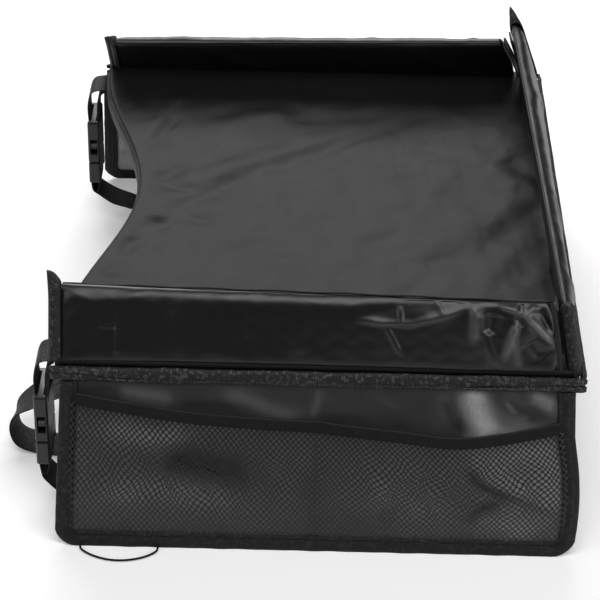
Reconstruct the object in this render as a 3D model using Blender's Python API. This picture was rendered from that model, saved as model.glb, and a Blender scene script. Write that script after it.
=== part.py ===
# Car seat tray table: a padded deck with a belly cut-out, three fold-down walls, two side panels with net
# pockets, and a waist strap with a side-release buckle at each rear corner.
# Metres, +Z up. +X is the tray's front, -X the child's side, -Y the near side of the photograph.
import bpy
import bmesh
from math import cos, hypot, pi, radians, sin, sqrt, tan
from mathutils import Vector

# General clearance between pieces that touch on the real tray
GAP = 0.0003
CUT_OVERRUN = 0.004
SHARP_ANGLE = 40
CURVE_STEPS = 8

# Deck
DECK_LENGTH = 0.330
DECK_WIDTH = 0.400
BELLY_DEPTH = 0.036
BELLY_HALF_WIDTH = 0.175
BELLY_CENTRE = 0.012
UNDER_COVER = 0.0012
BOARD = 0.0024
TOP_COVER = 0.0048
BOARD_INSET = 0.007
BELLY_POINTS = 30

# Tape bound over the belly edge, and the two-fold tapes sewn along the other three edges
BELLY_TAPE = 0.0010
BELLY_TAPE_WIDTH = 0.0090
BELLY_TAPE_END_ROOM = 0.0010
EDGE_TAPE_OUT = 0.0030
EDGE_TAPE_TAIL = 0.0030
# Shares of the edge tape's thickness and height, round its two lobes
EDGE_TAPE_SHARES = [(0, 0), (0.7, 0), (1, 0.14), (1, 0.38), (0.7, 0.5), (1, 0.62), (1, 0.86), (0.7, 1), (0, 1)]

# Zip that closes the board's pocket, under the belly edge
ZIP_START = 0.045
ZIP_END = 0.120
ZIP_WIDTH = 0.0060
ZIP_TAPE = 0.0010
ZIP_TEETH = 22
ZIP_TOOTH_HEIGHT = 0.0012
ZIP_TOOTH_WIDTH_SHARE = 0.5

# Walls
WALL_THICKNESS = 0.010
WALL_HEIGHT = 0.047
WALL_COVER = 0.0010
WALL_TOP_SHARE = 0.82
WALL_CAP_SHARE = 0.6
WALL_STATIONS = 8
SECTION_STEPS = 6
NEAR_WALL_LEANS = (22, 3)
FAR_WALL_LEANS = (40, 31)
FRONT_WALL_LEANS = (10, 20)
END_CAP = 0.0010
END_CAP_DEPTH = 0.0080
REAR_EAR = 0.010
FAR_REAR_EAR = 0.004
FRONT_NEAR_EAR = 0.003
FRONT_FAR_EAR = 0.011
HOOK_STRIP = 0.0012
HOOK_GAP = 0.0004
HOOK_INSET = 0.0008
LOOP_STRIP_START = 0.008
LOOP_STRIP_END = 0.041
LOOP_STRIP_WIDTH = 0.016
LOOP_STRIP_INSET = 0.009

# Side panels
PANEL_LENGTH = 0.1100
PANEL_INSET = 0.0110
PANEL_FLARE = 0.0100
PANEL_TOP_WIDTH = DECK_LENGTH - PANEL_INSET
PANEL_BOTTOM_WIDTH = PANEL_TOP_WIDTH + PANEL_FLARE
PANEL_CORNER = 0.012
PANEL_SPLAY = 15
PANEL_CLOTH = 0.0010
PANEL_HEAD = 0.0013
PANEL_HINGE_DROP = 0.0018
PANEL_TAPE = 0.0006
PANEL_TAPE_FOLD = 0.0014
PANEL_TAPE_WIDTH = 0.0085
PANEL_TAPE_START = 0.0020
FAR_PANEL_SHIFT = -0.0060
PANEL_FOLD = 0.0012
PANEL_FOLDS = 3
PANEL_COLUMNS = 18
PANEL_ROWS = 7
CORNER_STEPS = 4

# Net pockets: two lobes of net with a stitched line between them, and the elastic band along their mouth
NET_STRAND = 0.0008
NET_STRAND_SHARE = 0.22
NET_COLUMNS = 7
NET_ROWS = 4
POCKET_BULGE = 0.0120
POCKET_LOBES = ("rear", "front")
BAND_THICKNESS = 0.0012
BAND_HEIGHT = 0.0080
# The mouth's line: shares of the panel's half width, and of its length down from the hinge
MOUTH_SHARES = [(-1, 0.10), (-0.75, 0.15), (-0.48, 0.205), (-0.03, 0.255), (0.32, 0.30), (0.6, 0.335), (1, 0.24)]

# Webbing and side-release buckles
WEBBING = 0.0014
WEBBING_WIDTH = 0.025
STRAP_INSET = 0.022
STRAP_Y = DECK_WIDTH / 2 - STRAP_INSET
BUCKLE_OUT = 0.0110
BUCKLE_TOP_DROP = 0.0290
BUCKLE_WIDTH = 0.034
BUCKLE_THICKNESS = 0.009
BUCKLE_BEVEL = 0.0012
SOCKET_LENGTH = 0.035
PLUG_LENGTH = 0.018
BAR_HEIGHT = 0.0030
BAR_THICKNESS = 0.0032
SLOT_WIDTH = 0.0265
SLOT_HEIGHT = 0.0045
SOCKET_WALL = 0.0018
SOCKET_SIDE_WALL = 0.0035
SOCKET_DEPTH = 0.0235
WINDOW_START = 0.0070
WINDOW_HEIGHT = 0.0130
BUCKLE_GAP = 0.0005
ARM_ROOT_Y = 0.0085
ARM_WIDTH = 0.0030
ARM_LENGTH = 0.0205
CATCH_START = 0.0085
CATCH_HEIGHT = 0.0095
CATCH_REACH = 0.0158
TONGUE_WIDTH = 0.0050
TONGUE_LENGTH = 0.0200
WRAP_RADIUS = 0.0033
WRAP_STEPS = 6
STITCHED_SPREAD = 0.0010
# The anchor's two layers: shares of the way out to the buckle, of the seam's spread, and of the way down to the bar
ANCHOR_INNER_SHARES = [(0, -1, 0), (0.15, -1, 0), (0.42, 0, 0.17), (0.62, 0, 0.45)]
ANCHOR_OUTER_SHARES = [(1.40, 0, 0.5), (1.10, 0, 0.06), (0.45, 1.2, 0), (0.15, 1, 0), (0, 1, 0)]
TAIL_LENGTH = 0.013
TAIL_CLOSE_SHARE = 0.75
TAIL_OPEN_SHARE = 0.85
STRAP_LOOP_REACH = 0.2080
FLOOR_GAP = 0.0006
# The strap's way from the near buckle to the far one: shares of the deck's length in from its rear edge, of the
# buckles' distance from the middle, and of the bar's height above the floor, and the direction of its width
STRAP_SHARES = [
    (-0.041, -1.000, 0.698, (0, 1, 0)),
    (-0.033, -0.997, 0.471, (0, 1, 0)),
    (0.006, -0.983, 0.099, (0, 1, 0)),
    (0.067, -0.949, 0.000, (0, 1, 0)),
    (0.133, -0.916, 0.086, (0, 1, 0)),
    (0.173, -0.876, 0.366, (0, 1, 0)),
    (0.139, -0.826, 0.647, (0, 1, 0)),
    (0.079, -0.781, 0.473, (0, 1, 0)),
    (0.018, -0.744, 0.152, (0, 1, 0)),
    (-0.042, -0.719, 0.000, (0, 1, 0)),
    (-0.103, -0.697, 0.059, (0, 1, 0)),
    (-0.122, -0.680, 0.313, (0.1, 1, 0.06)),
    (-0.109, -0.652, 0.607, (0.28, 1, 0.2)),
    (-0.048, -0.596, 0.848, (0.45, 1, 0.3)),
    (0.024, -0.517, 0.928, (0.45, 1, 0.25)),
    (0.097, -0.410, 0.741, (0.2, 1, 0.05)),
    (0.158, -0.270, 0.340, (-0.3, 1, -0.05)),
    (0.206, -0.090, 0.072, (-0.9, 0.7, 0)),
    (0.236, 0.140, 0.000, (-1, 0.25, 0)),
    (0.242, 0.393, 0.000, (-1, 0, 0)),
    (0.218, 0.646, 0.000, (-1, -0.3, 0)),
    (0.152, 0.843, 0.045, (-0.6, -1, 0)),
    (0.067, 0.949, 0.099, (-0.1, -1, 0)),
    (0.006, 0.983, 0.179, (0, -1, 0)),
    (-0.030, 0.997, 0.511, (0, -1, 0)),
    (-0.041, 1.000, 0.698, (0, -1, 0)),
]
NEAR_WIDTH_SHARE = (0, 1, 0)
FAR_WIDTH_SHARE = (0, -1, 0)

# Elastic loop sewn under the near panel
LOOP_CORD = 0.0014
LOOP_CORD_STEPS = 4
# Along the tray, and out over the floor from the near panel's bottom tape
LOOP_CORD_ROUTE = [(-0.1500, 0), (-0.1490, 0.0040), (-0.1440, 0.0085), (-0.1360, 0.0125), (-0.1265, 0.0145),
                   (-0.1160, 0.0135), (-0.1070, 0.0100), (-0.1010, 0.0050), (-0.1000, 0)]

# Heights and places that follow from these
DECK_THICKNESS = UNDER_COVER + BOARD + TOP_COVER + 2 * GAP
HINGE_Y = DECK_WIDTH / 2 + GAP + EDGE_TAPE_OUT / 2
PANEL_FACE = PANEL_CLOTH / 2 + GAP + PANEL_TAPE
PANEL_REACH = PANEL_LENGTH + GAP + PANEL_TAPE_FOLD
HINGE_Z = PANEL_REACH * cos(radians(PANEL_SPLAY)) - PANEL_FACE * sin(radians(PANEL_SPLAY))
DECK_BOTTOM = HINGE_Z + PANEL_HINGE_DROP
DECK_TOP = DECK_BOTTOM + DECK_THICKNESS
WALL_AXIS_Y = DECK_WIDTH / 2 - WALL_THICKNESS / 2
WALL_AXIS_Z = DECK_TOP + GAP + WALL_THICKNESS / 2
FRONT_AXIS_X = DECK_LENGTH / 2 - WALL_THICKNESS / 2
FRONT_REACH = DECK_LENGTH / 2 + EDGE_TAPE_TAIL
BUCKLE_X = -DECK_LENGTH / 2 - BUCKLE_OUT
BUCKLE_TOP = DECK_TOP - BUCKLE_TOP_DROP
MOUTH_Z = BUCKLE_TOP - SOCKET_LENGTH
PLUG_BOTTOM = MOUTH_Z - BUCKLE_GAP - PLUG_LENGTH
FRAME_SHIFT = (STRAP_LOOP_REACH - FRONT_REACH) / 2

# Places of the carriers, in the tray's own coordinates (deck centre at x = 0, y = 0)
TRAY = Vector((0, 0, 0))
SIDES = {"near": -1, "far": 1}


def finish(name, colour, roughness, metallic=0.0):
    material = bpy.data.materials.new(name)
    material.use_nodes = True
    shader = material.node_tree.nodes["Principled BSDF"]
    shader.inputs["Base Color"].default_value = (*colour, 1)
    shader.inputs["Roughness"].default_value = roughness
    shader.inputs["Metallic"].default_value = metallic
    return material


def carrier(name, place, parent=None, parent_place=TRAY):
    # An empty on a joint's axis; the tray's own empty moves everything into the part's frame
    empty = bpy.data.objects.new(name, None)
    empty.location = Vector(place) - parent_place
    empty.parent = parent
    bpy.context.scene.collection.objects.link(empty)
    return empty


def piece(name, shape, material, parent, pivot=TRAY):
    # A closed mesh from (corners, faces) in the tray's coordinates, hung on an empty at pivot
    corners, faces = shape
    mesh = bpy.data.meshes.new(name)
    mesh.from_pydata([Vector(corner) - Vector(pivot) for corner in corners], [], faces)
    work = bmesh.new()
    work.from_mesh(mesh)
    bmesh.ops.recalc_face_normals(work, faces=work.faces)
    work.to_mesh(mesh)
    work.free()
    mesh.shade_smooth()
    mesh.set_sharp_from_angle(angle=radians(SHARP_ANGLE))
    mesh.materials.append(material)
    made = bpy.data.objects.new(name, mesh)
    made.parent = parent
    bpy.context.scene.collection.objects.link(made)
    return made


def loft(rings, ring_loop=False):
    # Skin over rings of equally many points; the ends are capped unless the rings close on themselves
    count = len(rings[0])
    corners = [point for ring in rings for point in ring]
    faces = []
    for level in range(len(rings) if ring_loop else len(rings) - 1):
        low = level * count
        high = (level + 1) % len(rings) * count
        for k in range(count):
            after = (k + 1) % count
            faces.append((low + k, low + after, high + after, high + k))
    if not ring_loop:
        faces.append(tuple(range(count)))
        faces.append(tuple(range(len(corners) - count, len(corners))))
    return corners, faces


def steps(start, end, count):
    return [start + (end - start) * k / count for k in range(count + 1)]


def smooth_curve(points, per_span):
    # Points on a smooth curve through the given ones (any number of coordinates)
    found = []
    last = len(points) - 1
    for k in range(last):
        before, here, after, beyond = (points[min(max(k + j, 0), last)] for j in (-1, 0, 1, 2))
        for step in range(per_span):
            t = step / per_span
            found.append(tuple(
                b + (c - a) * t / 2 + (a - 2.5 * b + 2 * c - d / 2) * t ** 2 + (1.5 * (b - c) + (d - a) / 2) * t ** 3
                for a, b, c, d in zip(before, here, after, beyond)))
    found.append(tuple(points[last]))
    return found


def read_curve(table, x):
    # Value at x along a smooth curve through a table of (x, value)
    points = smooth_curve(table, CURVE_STEPS)
    for (x0, v0), (x1, v1) in zip(points, points[1:]):
        if x <= x1:
            return v0 + (v1 - v0) * max(x - x0, 0) / (x1 - x0)
    return points[-1][1]


# Deck

def belly_edge(y, inset=0.0):
    # A point on the child's edge at width y, moved inward by inset along the edge's normal
    reach = y - BELLY_CENTRE
    x, slope = -DECK_LENGTH / 2, 0.0
    if abs(reach) < BELLY_HALF_WIDTH:
        turn = pi * reach / BELLY_HALF_WIDTH
        x += BELLY_DEPTH * (1 + cos(turn)) / 2
        slope = -BELLY_DEPTH * pi / BELLY_HALF_WIDTH * sin(turn) / 2
    long = hypot(1, slope)
    return x + inset / long, y - inset * slope / long


def deck_outline(inset):
    half = DECK_WIDTH / 2 - inset
    front = DECK_LENGTH / 2 - inset
    rear = [belly_edge(y, inset) for y in steps(-half, half, BELLY_POINTS)]
    return rear + [(front, half), (front, -half)]


def level(outline, z):
    return [(x, y, z) for x, y in outline]


def make_deck(tray, fabric, webbing, plastic):
    outer = deck_outline(0)
    pocket = deck_outline(BOARD_INSET)
    board = deck_outline(BOARD_INSET + GAP)
    floor = DECK_BOTTOM + UNDER_COVER
    rim = floor + GAP + BOARD
    piece("deck_under_cover", loft([level(pocket, floor), level(pocket, rim), level(outer, rim),
                                    level(outer, DECK_BOTTOM)]), fabric, tray)
    piece("deck_board", loft([level(board, floor + GAP), level(board, rim)]), plastic, tray)
    piece("deck_top_cover", loft([level(outer, rim + GAP), level(outer, DECK_TOP)]), fabric, tray)

    # Tape folded over the belly edge: a channel open inwards
    half = DECK_WIDTH / 2 - WALL_THICKNESS - BELLY_TAPE_END_ROOM
    rings = []
    for y in steps(-half, half, BELLY_POINTS):
        inner, outer_edge, lip = (belly_edge(y, inset) for inset in (-GAP, -GAP - BELLY_TAPE, BELLY_TAPE_WIDTH))
        low, high = DECK_BOTTOM - GAP, DECK_TOP + GAP
        rings.append([(*outer_edge, low - BELLY_TAPE), (*lip, low - BELLY_TAPE), (*lip, low), (*inner, low),
                      (*inner, high), (*lip, high), (*lip, high + BELLY_TAPE), (*outer_edge, high + BELLY_TAPE)])
    piece("belly_binding", loft(rings), webbing, tray)

    # Folded tapes on the near, far and front edges
    for name, side in SIDES.items():
        rings = [[(x, side * (DECK_WIDTH / 2 + GAP + out * EDGE_TAPE_OUT), DECK_BOTTOM + up * DECK_THICKNESS)
                  for out, up in EDGE_TAPE_SHARES] for x in steps(-FRONT_REACH, FRONT_REACH, 1)]
        piece(name + "_edge_binding", loft(rings), webbing, tray)
    rings = [[(DECK_LENGTH / 2 + GAP + out * EDGE_TAPE_OUT, y, DECK_BOTTOM + up * DECK_THICKNESS)
              for out, up in EDGE_TAPE_SHARES] for y in steps(-DECK_WIDTH / 2, DECK_WIDTH / 2, 1)]
    piece("front_edge_binding", loft(rings), webbing, tray)

    # Zip under the belly tape: a flat tape whose teeth stand down from it
    top = DECK_BOTTOM - 2 * GAP - BELLY_TAPE
    inset = ZIP_WIDTH * (1 - ZIP_TOOTH_WIDTH_SHARE) / 2
    rings = []
    for k, y in enumerate(steps(ZIP_START, ZIP_END, 2 * ZIP_TEETH)):
        drop = ZIP_TAPE + ZIP_TOOTH_HEIGHT * (k % 2)
        edge, shoulder, crest, back = (belly_edge(y, part) for part in
                                       (0, inset, ZIP_WIDTH - inset, ZIP_WIDTH))
        rings.append([(*edge, top), (*edge, top - ZIP_TAPE), (*shoulder, top - ZIP_TAPE), (*shoulder, top - drop - GAP),
                      (*crest, top - drop - GAP), (*crest, top - ZIP_TAPE), (*back, top - ZIP_TAPE), (*back, top)])
    piece("board_zip", loft(rings), plastic, tray)


# Walls

def wall_section(half, top):
    # Thickness and height round a wall: a half-round foot on the hinge line and a softer rounded top
    foot = [(half * cos(a), half * sin(a)) for a in steps(pi, 2 * pi, SECTION_STEPS)]
    crown_half, crown = half * WALL_TOP_SHARE, half * WALL_CAP_SHARE
    head = [(crown_half * cos(a), top - crown + crown * sin(a)) for a in steps(0, pi, SECTION_STEPS)]
    return foot + [(half, top / 2)] + head + [(-half, top / 2)]


def lean_at(leans, share):
    return radians(leans[0] + (leans[1] - leans[0]) * share)


def front_point(y, t, h):
    # A point of the front wall: width y, t through its thickness towards the deck, h up from its hinge line
    lean = lean_at(FRONT_WALL_LEANS, (y + DECK_WIDTH / 2) / DECK_WIDTH)
    return (FRONT_AXIS_X - h * sin(lean) - t * cos(lean), y, WALL_AXIS_Z + h * cos(lean) - t * sin(lean))


def side_point(side, leans, share, t, h, short=0.0):
    # A point of a side wall; its front end is cut short of the leaning front wall's face, and clears it in every
    # position, because the cut allows for the highest place that the point comes to as the wall folds
    lean = lean_at(leans, share)
    y = side * (WALL_AXIS_Y - h * sin(lean) - t * cos(lean))
    rise = h * cos(lean) - t * sin(lean)
    front_lean = lean_at(FRONT_WALL_LEANS, 0 if side < 0 else 1)
    face = FRONT_AXIS_X - hypot(h, t) * tan(front_lean) - WALL_THICKNESS / 2 / cos(front_lean) - short
    rear = -DECK_LENGTH / 2
    return (rear + (face - rear) * share, y, WALL_AXIS_Z + rise)


def wall_rings(place, stations, inset):
    section = wall_section(WALL_THICKNESS / 2 - inset, WALL_HEIGHT - inset)
    return [[place(station, t, h) for t, h in section] for station in stations]


def end_cap(place, end, mouth, floor, ear):
    # A tape cap over a wall's end, drawn up into a pointed ear where its tails meet
    inner = END_CAP + GAP / 2
    well = wall_rings(place, [floor, mouth], inner)
    shell = wall_rings(place, [mouth, end], 0)
    crest = SECTION_STEPS + 2 + SECTION_STEPS // 2
    tip = wall_section(WALL_THICKNESS / 2, WALL_HEIGHT)[crest]
    shell[1][crest] = place(end, tip[0], tip[1] + ear)
    return loft(well + shell)


def make_wall(name, place, length, short_end, hinge, pivot, ears, cover, core, webbing):
    # place(distance, t, h) gives a point at a distance along the wall from its first end; each ear has a cap,
    # and an end without one stops short of the next wall
    drawn = END_CAP + 2 * GAP
    in_cap, past_cap = END_CAP + 2 * GAP, END_CAP_DEPTH + GAP
    swell = past_cap + drawn
    both = len(ears) == 2
    body_end = length - (swell if both else short_end)
    body = steps(swell, body_end, WALL_STATIONS)
    stations = [(in_cap, drawn), (past_cap, drawn)] + [(at, 0) for at in body]
    if both:
        stations += [(length - past_cap, drawn), (length - in_cap, drawn)]
    outside = [wall_rings(place, [at], inset)[0] for at, inset in stations]
    inside = [wall_rings(place, [at], inset + WALL_COVER)[0] for at, inset in reversed(stations)]
    piece(name + "_cover", loft(outside + inside, ring_loop=True), cover, hinge, pivot)
    inner = WALL_COVER + GAP
    rings = wall_rings(place, [body[0] + inner] + body[1:-1] + [body[-1] - inner], inner)
    piece(name + "_core", loft(rings), core, hinge, pivot)
    for k, (label, ear) in enumerate(ears):
        end, mouth, floor = 0.0, END_CAP_DEPTH, END_CAP
        if k:
            end, mouth, floor = (length - at for at in (end, mouth, floor))
        piece(name + label, end_cap(place, end, mouth, floor, ear), webbing, hinge, pivot)


def make_walls(tray, cover, core, webbing, hook, loop):
    strips = 3 * GAP + 2 * HOOK_STRIP + HOOK_GAP
    side_length = FRONT_AXIS_X - WALL_THICKNESS / 2 + DECK_LENGTH / 2
    for name, side in SIDES.items():
        leans = NEAR_WALL_LEANS if side < 0 else FAR_WALL_LEANS
        pivot = Vector((0, side * WALL_AXIS_Y, WALL_AXIS_Z))
        hinge = carrier(name + "_wall_hinge", pivot, tray)

        def place(distance, t, h, side=side, leans=leans):
            return side_point(side, leans, distance / side_length, t, h)

        ear = REAR_EAR if side < 0 else FAR_REAR_EAR
        make_wall(name + "_wall", place, side_length, strips, hinge, pivot, [("_end_binding", ear)],
                  cover, core, webbing)
        back, front = (strips - 2 * GAP, strips - 2 * GAP - HOOK_STRIP)
        rings = [[side_point(side, leans, 1, t, h, short) for t, h in
                  wall_section(WALL_THICKNESS / 2 - HOOK_INSET, WALL_HEIGHT - HOOK_INSET)]
                 for short in (back, front)]
        piece(name + "_wall_hook_strip", loft(rings), hook, hinge, pivot)

    pivot = Vector((FRONT_AXIS_X, 0, WALL_AXIS_Z))
    hinge = carrier("front_wall_hinge", pivot, tray)

    def place_front(distance, t, h):
        return front_point(distance - DECK_WIDTH / 2, t, h)

    make_wall("front_wall", place_front, DECK_WIDTH, 0, hinge, pivot,
              [("_near_binding", FRONT_NEAR_EAR), ("_far_binding", FRONT_FAR_EAR)], cover, core, webbing)
    for name, side in SIDES.items():
        # The strip's foot is under the side wall's end and its head is further in where that wall leans in
        outer = DECK_WIDTH / 2 - LOOP_STRIP_INSET
        inner = outer - LOOP_STRIP_WIDTH
        face = WALL_THICKNESS / 2 + GAP
        rings = [[front_point(side * y, t, h) for y, t in
                  ((outer, face), (inner, face), (inner, face + HOOK_STRIP), (outer, face + HOOK_STRIP))]
                 for h in steps(LOOP_STRIP_START, LOOP_STRIP_END, 2)]
        piece(name + "_wall_loop_strip", loft(rings), loop, hinge, pivot)


# Side panels

def panel_half_width(d, inset=0.0):
    # Half width at distance d below the hinge line, inside the edge by inset, with the bottom corners rounded
    half = (PANEL_TOP_WIDTH + (PANEL_BOTTOM_WIDTH - PANEL_TOP_WIDTH) * max(d, 0) / PANEL_LENGTH) / 2 - inset
    into = d - (PANEL_LENGTH - PANEL_CORNER)
    radius = PANEL_CORNER - inset
    if into > 0:
        half -= radius - sqrt(max(radius ** 2 - into ** 2, 0))
    return half


def panel_point(side, x, d, out):
    # The far panel is sewn on a little further back
    splay = radians(PANEL_SPLAY)
    shift = FAR_PANEL_SHIFT if side > 0 else 0
    return (x + shift, side * (HINGE_Y + d * sin(splay) + out * cos(splay)),
            HINGE_Z - d * cos(splay) + out * sin(splay))


def panel_fold(across, down):
    # The cloth's main folds: none at its edges, where the tape grips it
    window = sin(pi * min(max(down, 0), 1)) * sin(pi * across)
    return PANEL_FOLD * window * sin(2 * pi * PANEL_FOLDS * across)


def mouth_line(x):
    return PANEL_LENGTH * read_curve(MOUTH_SHARES, 2 * x / PANEL_TOP_WIDTH)


def pocket_out(across, down, base):
    # How far the pocket stands off the cloth: two lobes, stitched down at the sides, middle and bottom
    lobe = abs(sin(len(POCKET_LOBES) * pi * across))
    return base + POCKET_BULGE * sqrt(lobe) * (1 - down ** 2)


def slab_faces(rows, columns):
    # Both faces and the rim of a sheet whose corners come row by row, first the back and then the front
    back, front = 0, rows * columns
    faces = []
    for r in range(rows - 1):
        for c in range(columns - 1):
            a = r * columns + c
            cell = (a, a + 1, a + columns + 1, a + columns)
            faces.append(tuple(back + v for v in reversed(cell)))
            faces.append(tuple(front + v for v in cell))
    rim = [c for c in range(columns)]
    rim += [r * columns + columns - 1 for r in range(1, rows)]
    rim += [(rows - 1) * columns + c for c in range(columns - 2, -1, -1)]
    rim += [r * columns for r in range(rows - 2, 0, -1)]
    for a, b in zip(rim, rim[1:] + rim[:1]):
        faces.append((back + a, back + b, front + b, front + a))
    return faces


def make_net(name, side, lobe, net, hinge, pivot):
    # One pocket's net: a lattice of diamond gaps between the mouth and the tape
    lattice_x, lattice_y = 2 * NET_COLUMNS, 2 * NET_ROWS
    base = PANEL_CLOTH / 2 + GAP + NET_STRAND / 2
    held = PANEL_TAPE_WIDTH + GAP
    bottom = PANEL_LENGTH - held
    middle = (PANEL_LENGTH - PANEL_CORNER) / 2
    inward = 1 if lobe == 0 else -1

    def net_point(i, j, face):
        across, down = (lobe + i / lattice_x) / len(POCKET_LOBES), j / lattice_y
        seam = (i if lobe else lattice_x - i) == 0
        top = mouth_line((2 * across - 1) * panel_half_width(middle, held)) + BAND_HEIGHT / 2 + GAP
        d = top + (bottom - top) * down
        x = (2 * across - 1) * panel_half_width(d, held) - (inward * GAP if seam else 0)
        return panel_point(side, x, d, pocket_out(across, down, base) + face)

    corners, faces, found = [], [], {}

    def corner(i, j, face):
        key = (round(i, 4), round(j, 4), face)
        if key not in found:
            found[key] = len(corners)
            corners.append(net_point(i, j, face * NET_STRAND / 2))
        return found[key]

    hole = 1 - NET_STRAND_SHARE
    for i in range(lattice_x + 1):
        for j in range(lattice_y + 1):
            if (i + j) % 2 == 0:
                continue
            ring = [(i - 1, j), (i, j - 1), (i + 1, j), (i, j + 1)]
            inside = [p for p in ring if 0 <= p[0] <= lattice_x and 0 <= p[1] <= lattice_y]
            if len(inside) < len(ring):
                # A half diamond on the border is sewn solid
                faces.append(tuple(corner(*p, 1) for p in inside))
                faces.append(tuple(corner(*p, -1) for p in reversed(inside)))
                continue
            gap_ring = [(i + (a - i) * hole, j + (b - j) * hole) for a, b in ring]
            for k in range(len(ring)):
                n = (k + 1) % len(ring)
                for face in (1, -1):
                    quad = [corner(*p, face) for p in (ring[k], ring[n], gap_ring[n], gap_ring[k])]
                    faces.append(tuple(quad if face > 0 else reversed(quad)))
                faces.append((corner(*gap_ring[k], 1), corner(*gap_ring[n], 1),
                              corner(*gap_ring[n], -1), corner(*gap_ring[k], -1)))
    border = [(i, 0) for i in range(0, lattice_x, 2)] + [(lattice_x, j) for j in range(0, lattice_y, 2)]
    border += [(i, lattice_y) for i in range(lattice_x, 0, -2)] + [(0, j) for j in range(lattice_y, 0, -2)]
    for a, b in zip(border, border[1:] + border[:1]):
        faces.append((corner(*a, 1), corner(*a, -1), corner(*b, -1), corner(*b, 1)))
    piece(name, (corners, faces), net, hinge, pivot)


def make_panel(name, side, tray, cloth, webbing, net, band):
    pivot = Vector((0, side * HINGE_Y, HINGE_Z))
    hinge = carrier(name + "_panel_hinge", pivot, tray)

    straight = PANEL_LENGTH - PANEL_CORNER
    depths = [-PANEL_HEAD] + steps(0, straight, PANEL_ROWS - 1)
    depths += [straight + PANEL_CORNER * sin(a) for a in steps(0, pi / 2, CORNER_STEPS)[1:]]
    shares = steps(0, 1, PANEL_COLUMNS)
    corners = []
    for face in (-PANEL_CLOTH / 2, PANEL_CLOTH / 2):
        for d in depths:
            half = panel_half_width(d)
            corners += [panel_point(side, half * (2 * across - 1), d, face + panel_fold(across, d / PANEL_LENGTH))
                        for across in shares]
    piece(name + "_side_panel", (corners, slab_faces(len(depths), len(shares))), cloth, hinge, pivot)

    # Tape round three edges: a channel swept down one side, along the bottom and up the other
    edge = [(-panel_half_width(d), d, -1.0, 0.0) for d in (PANEL_TAPE_START, straight / 2, straight)]
    centre = panel_half_width(PANEL_LENGTH)
    edge += [(-centre - PANEL_CORNER * cos(a), straight + PANEL_CORNER * sin(a), -cos(a), sin(a))
             for a in steps(0, pi / 2, CORNER_STEPS)[1:]]
    edge += [(-x, d, -across, down) for x, d, across, down in reversed(edge)]
    rings = []
    half_cloth = PANEL_CLOTH / 2
    under = PANEL_FACE - PANEL_TAPE
    profile = [(-GAP - PANEL_TAPE_FOLD, PANEL_FACE), (PANEL_TAPE_WIDTH, PANEL_FACE),
               (PANEL_TAPE_WIDTH, under), (-GAP, under)]
    profile += [(inset, -out) for inset, out in reversed(profile)]
    for x, d, across, down in edge:
        ring = []
        for inset, out in profile:
            px, py, pz = panel_point(side, x - across * inset, d - down * inset, out)
            # The bottom tape stands flat on the floor
            ring.append((px, py, max(pz, 0.0)))
        rings.append(ring)
    piece(name + "_panel_binding", loft(rings), webbing, hinge, pivot)

    for k, label in enumerate(POCKET_LOBES):
        make_net(name + "_pocket_net_" + label, side, k, net, hinge, pivot)

    # Elastic band along the mouth
    shares = steps(0, 1, len(POCKET_LOBES) * NET_COLUMNS)
    corners = []
    low_out = half_cloth + GAP + BAND_THICKNESS / 2
    held = PANEL_TAPE_WIDTH + GAP
    half = panel_half_width(straight / 2, held)
    for face in (-BAND_THICKNESS / 2, BAND_THICKNESS / 2):
        for edge_share in (-0.5, 0.5):
            for across in shares:
                x = (2 * across - 1) * half
                d = mouth_line(x) + edge_share * BAND_HEIGHT
                limit = panel_half_width(d, held)
                corners.append(panel_point(side, (2 * across - 1) * limit, d,
                                           pocket_out(across, 0, low_out) + face))
    piece(name + "_pocket_band", (corners, slab_faces(2, len(shares))), band, hinge, pivot)
    return hinge, pivot


# Webbing

def ribbon(route, widths, per_span):
    # A flat band of webbing along a smooth route, its width along the given directions
    centres = [Vector(p) for p in smooth_curve(route, per_span)]
    across = [Vector(p) for p in smooth_curve(widths, per_span)]
    rings = []
    for k, centre in enumerate(centres):
        run = (centres[min(k + 1, len(centres) - 1)] - centres[max(k - 1, 0)]).normalized()
        wide = (across[k] - run * across[k].dot(run)).normalized() * WEBBING_WIDTH / 2
        thick = run.cross(wide).normalized() * WEBBING / 2
        rings.append([centre + wide + thick, centre - wide + thick, centre - wide - thick, centre + wide - thick])
    return loft(rings)


def wrap(x, z, upward):
    # Half a turn of webbing round a buckle's bar, from its inner side to its outer side
    turn = 1 if upward else -1
    return [(x + WRAP_RADIUS * cos(a), z + turn * WRAP_RADIUS * sin(a)) for a in steps(0, pi, WRAP_STEPS)]


def make_anchor(name, side, tray, webbing):
    # Doubled webbing sewn to the child's edge, through the socket's top bar
    seam_x = -DECK_LENGTH / 2 - 2 * GAP - BELLY_TAPE
    seam_z = DECK_TOP - DECK_THICKNESS / 2
    bar_z = BUCKLE_TOP - BAR_HEIGHT / 2
    fall = seam_z - bar_z
    reach = seam_x - BUCKLE_X
    inner, outer = ([(seam_x - reach * out, seam_z + STITCHED_SPREAD * lift - fall * down)
                     for out, lift, down in shares] for shares in (ANCHOR_INNER_SHARES, ANCHOR_OUTER_SHARES))
    route = inner + wrap(BUCKLE_X, bar_z, False) + outer
    points = [(x, side * STRAP_Y, z) for x, z in route]
    piece(name + "_anchor_webbing", ribbon(points, [(0, 1, 0)] * len(points), 2), webbing, tray)


# Buckles

def box(low, high):
    corners = [(x, y, z) for z in (low[2], high[2]) for x, y in
               ((low[0], low[1]), (high[0], low[1]), (high[0], high[1]), (low[0], high[1]))]
    return loft([corners[:4], corners[4:]])


def cut(target, name, low, high, parent, pivot=TRAY):
    cutter = piece(name, box(low, high), target.data.materials[0], parent, pivot)
    cutter.hide_render = True
    cutter.display_type = "WIRE"
    carve = target.modifiers.new(name, "BOOLEAN")
    carve.operation = "DIFFERENCE"
    carve.object = cutter


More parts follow.
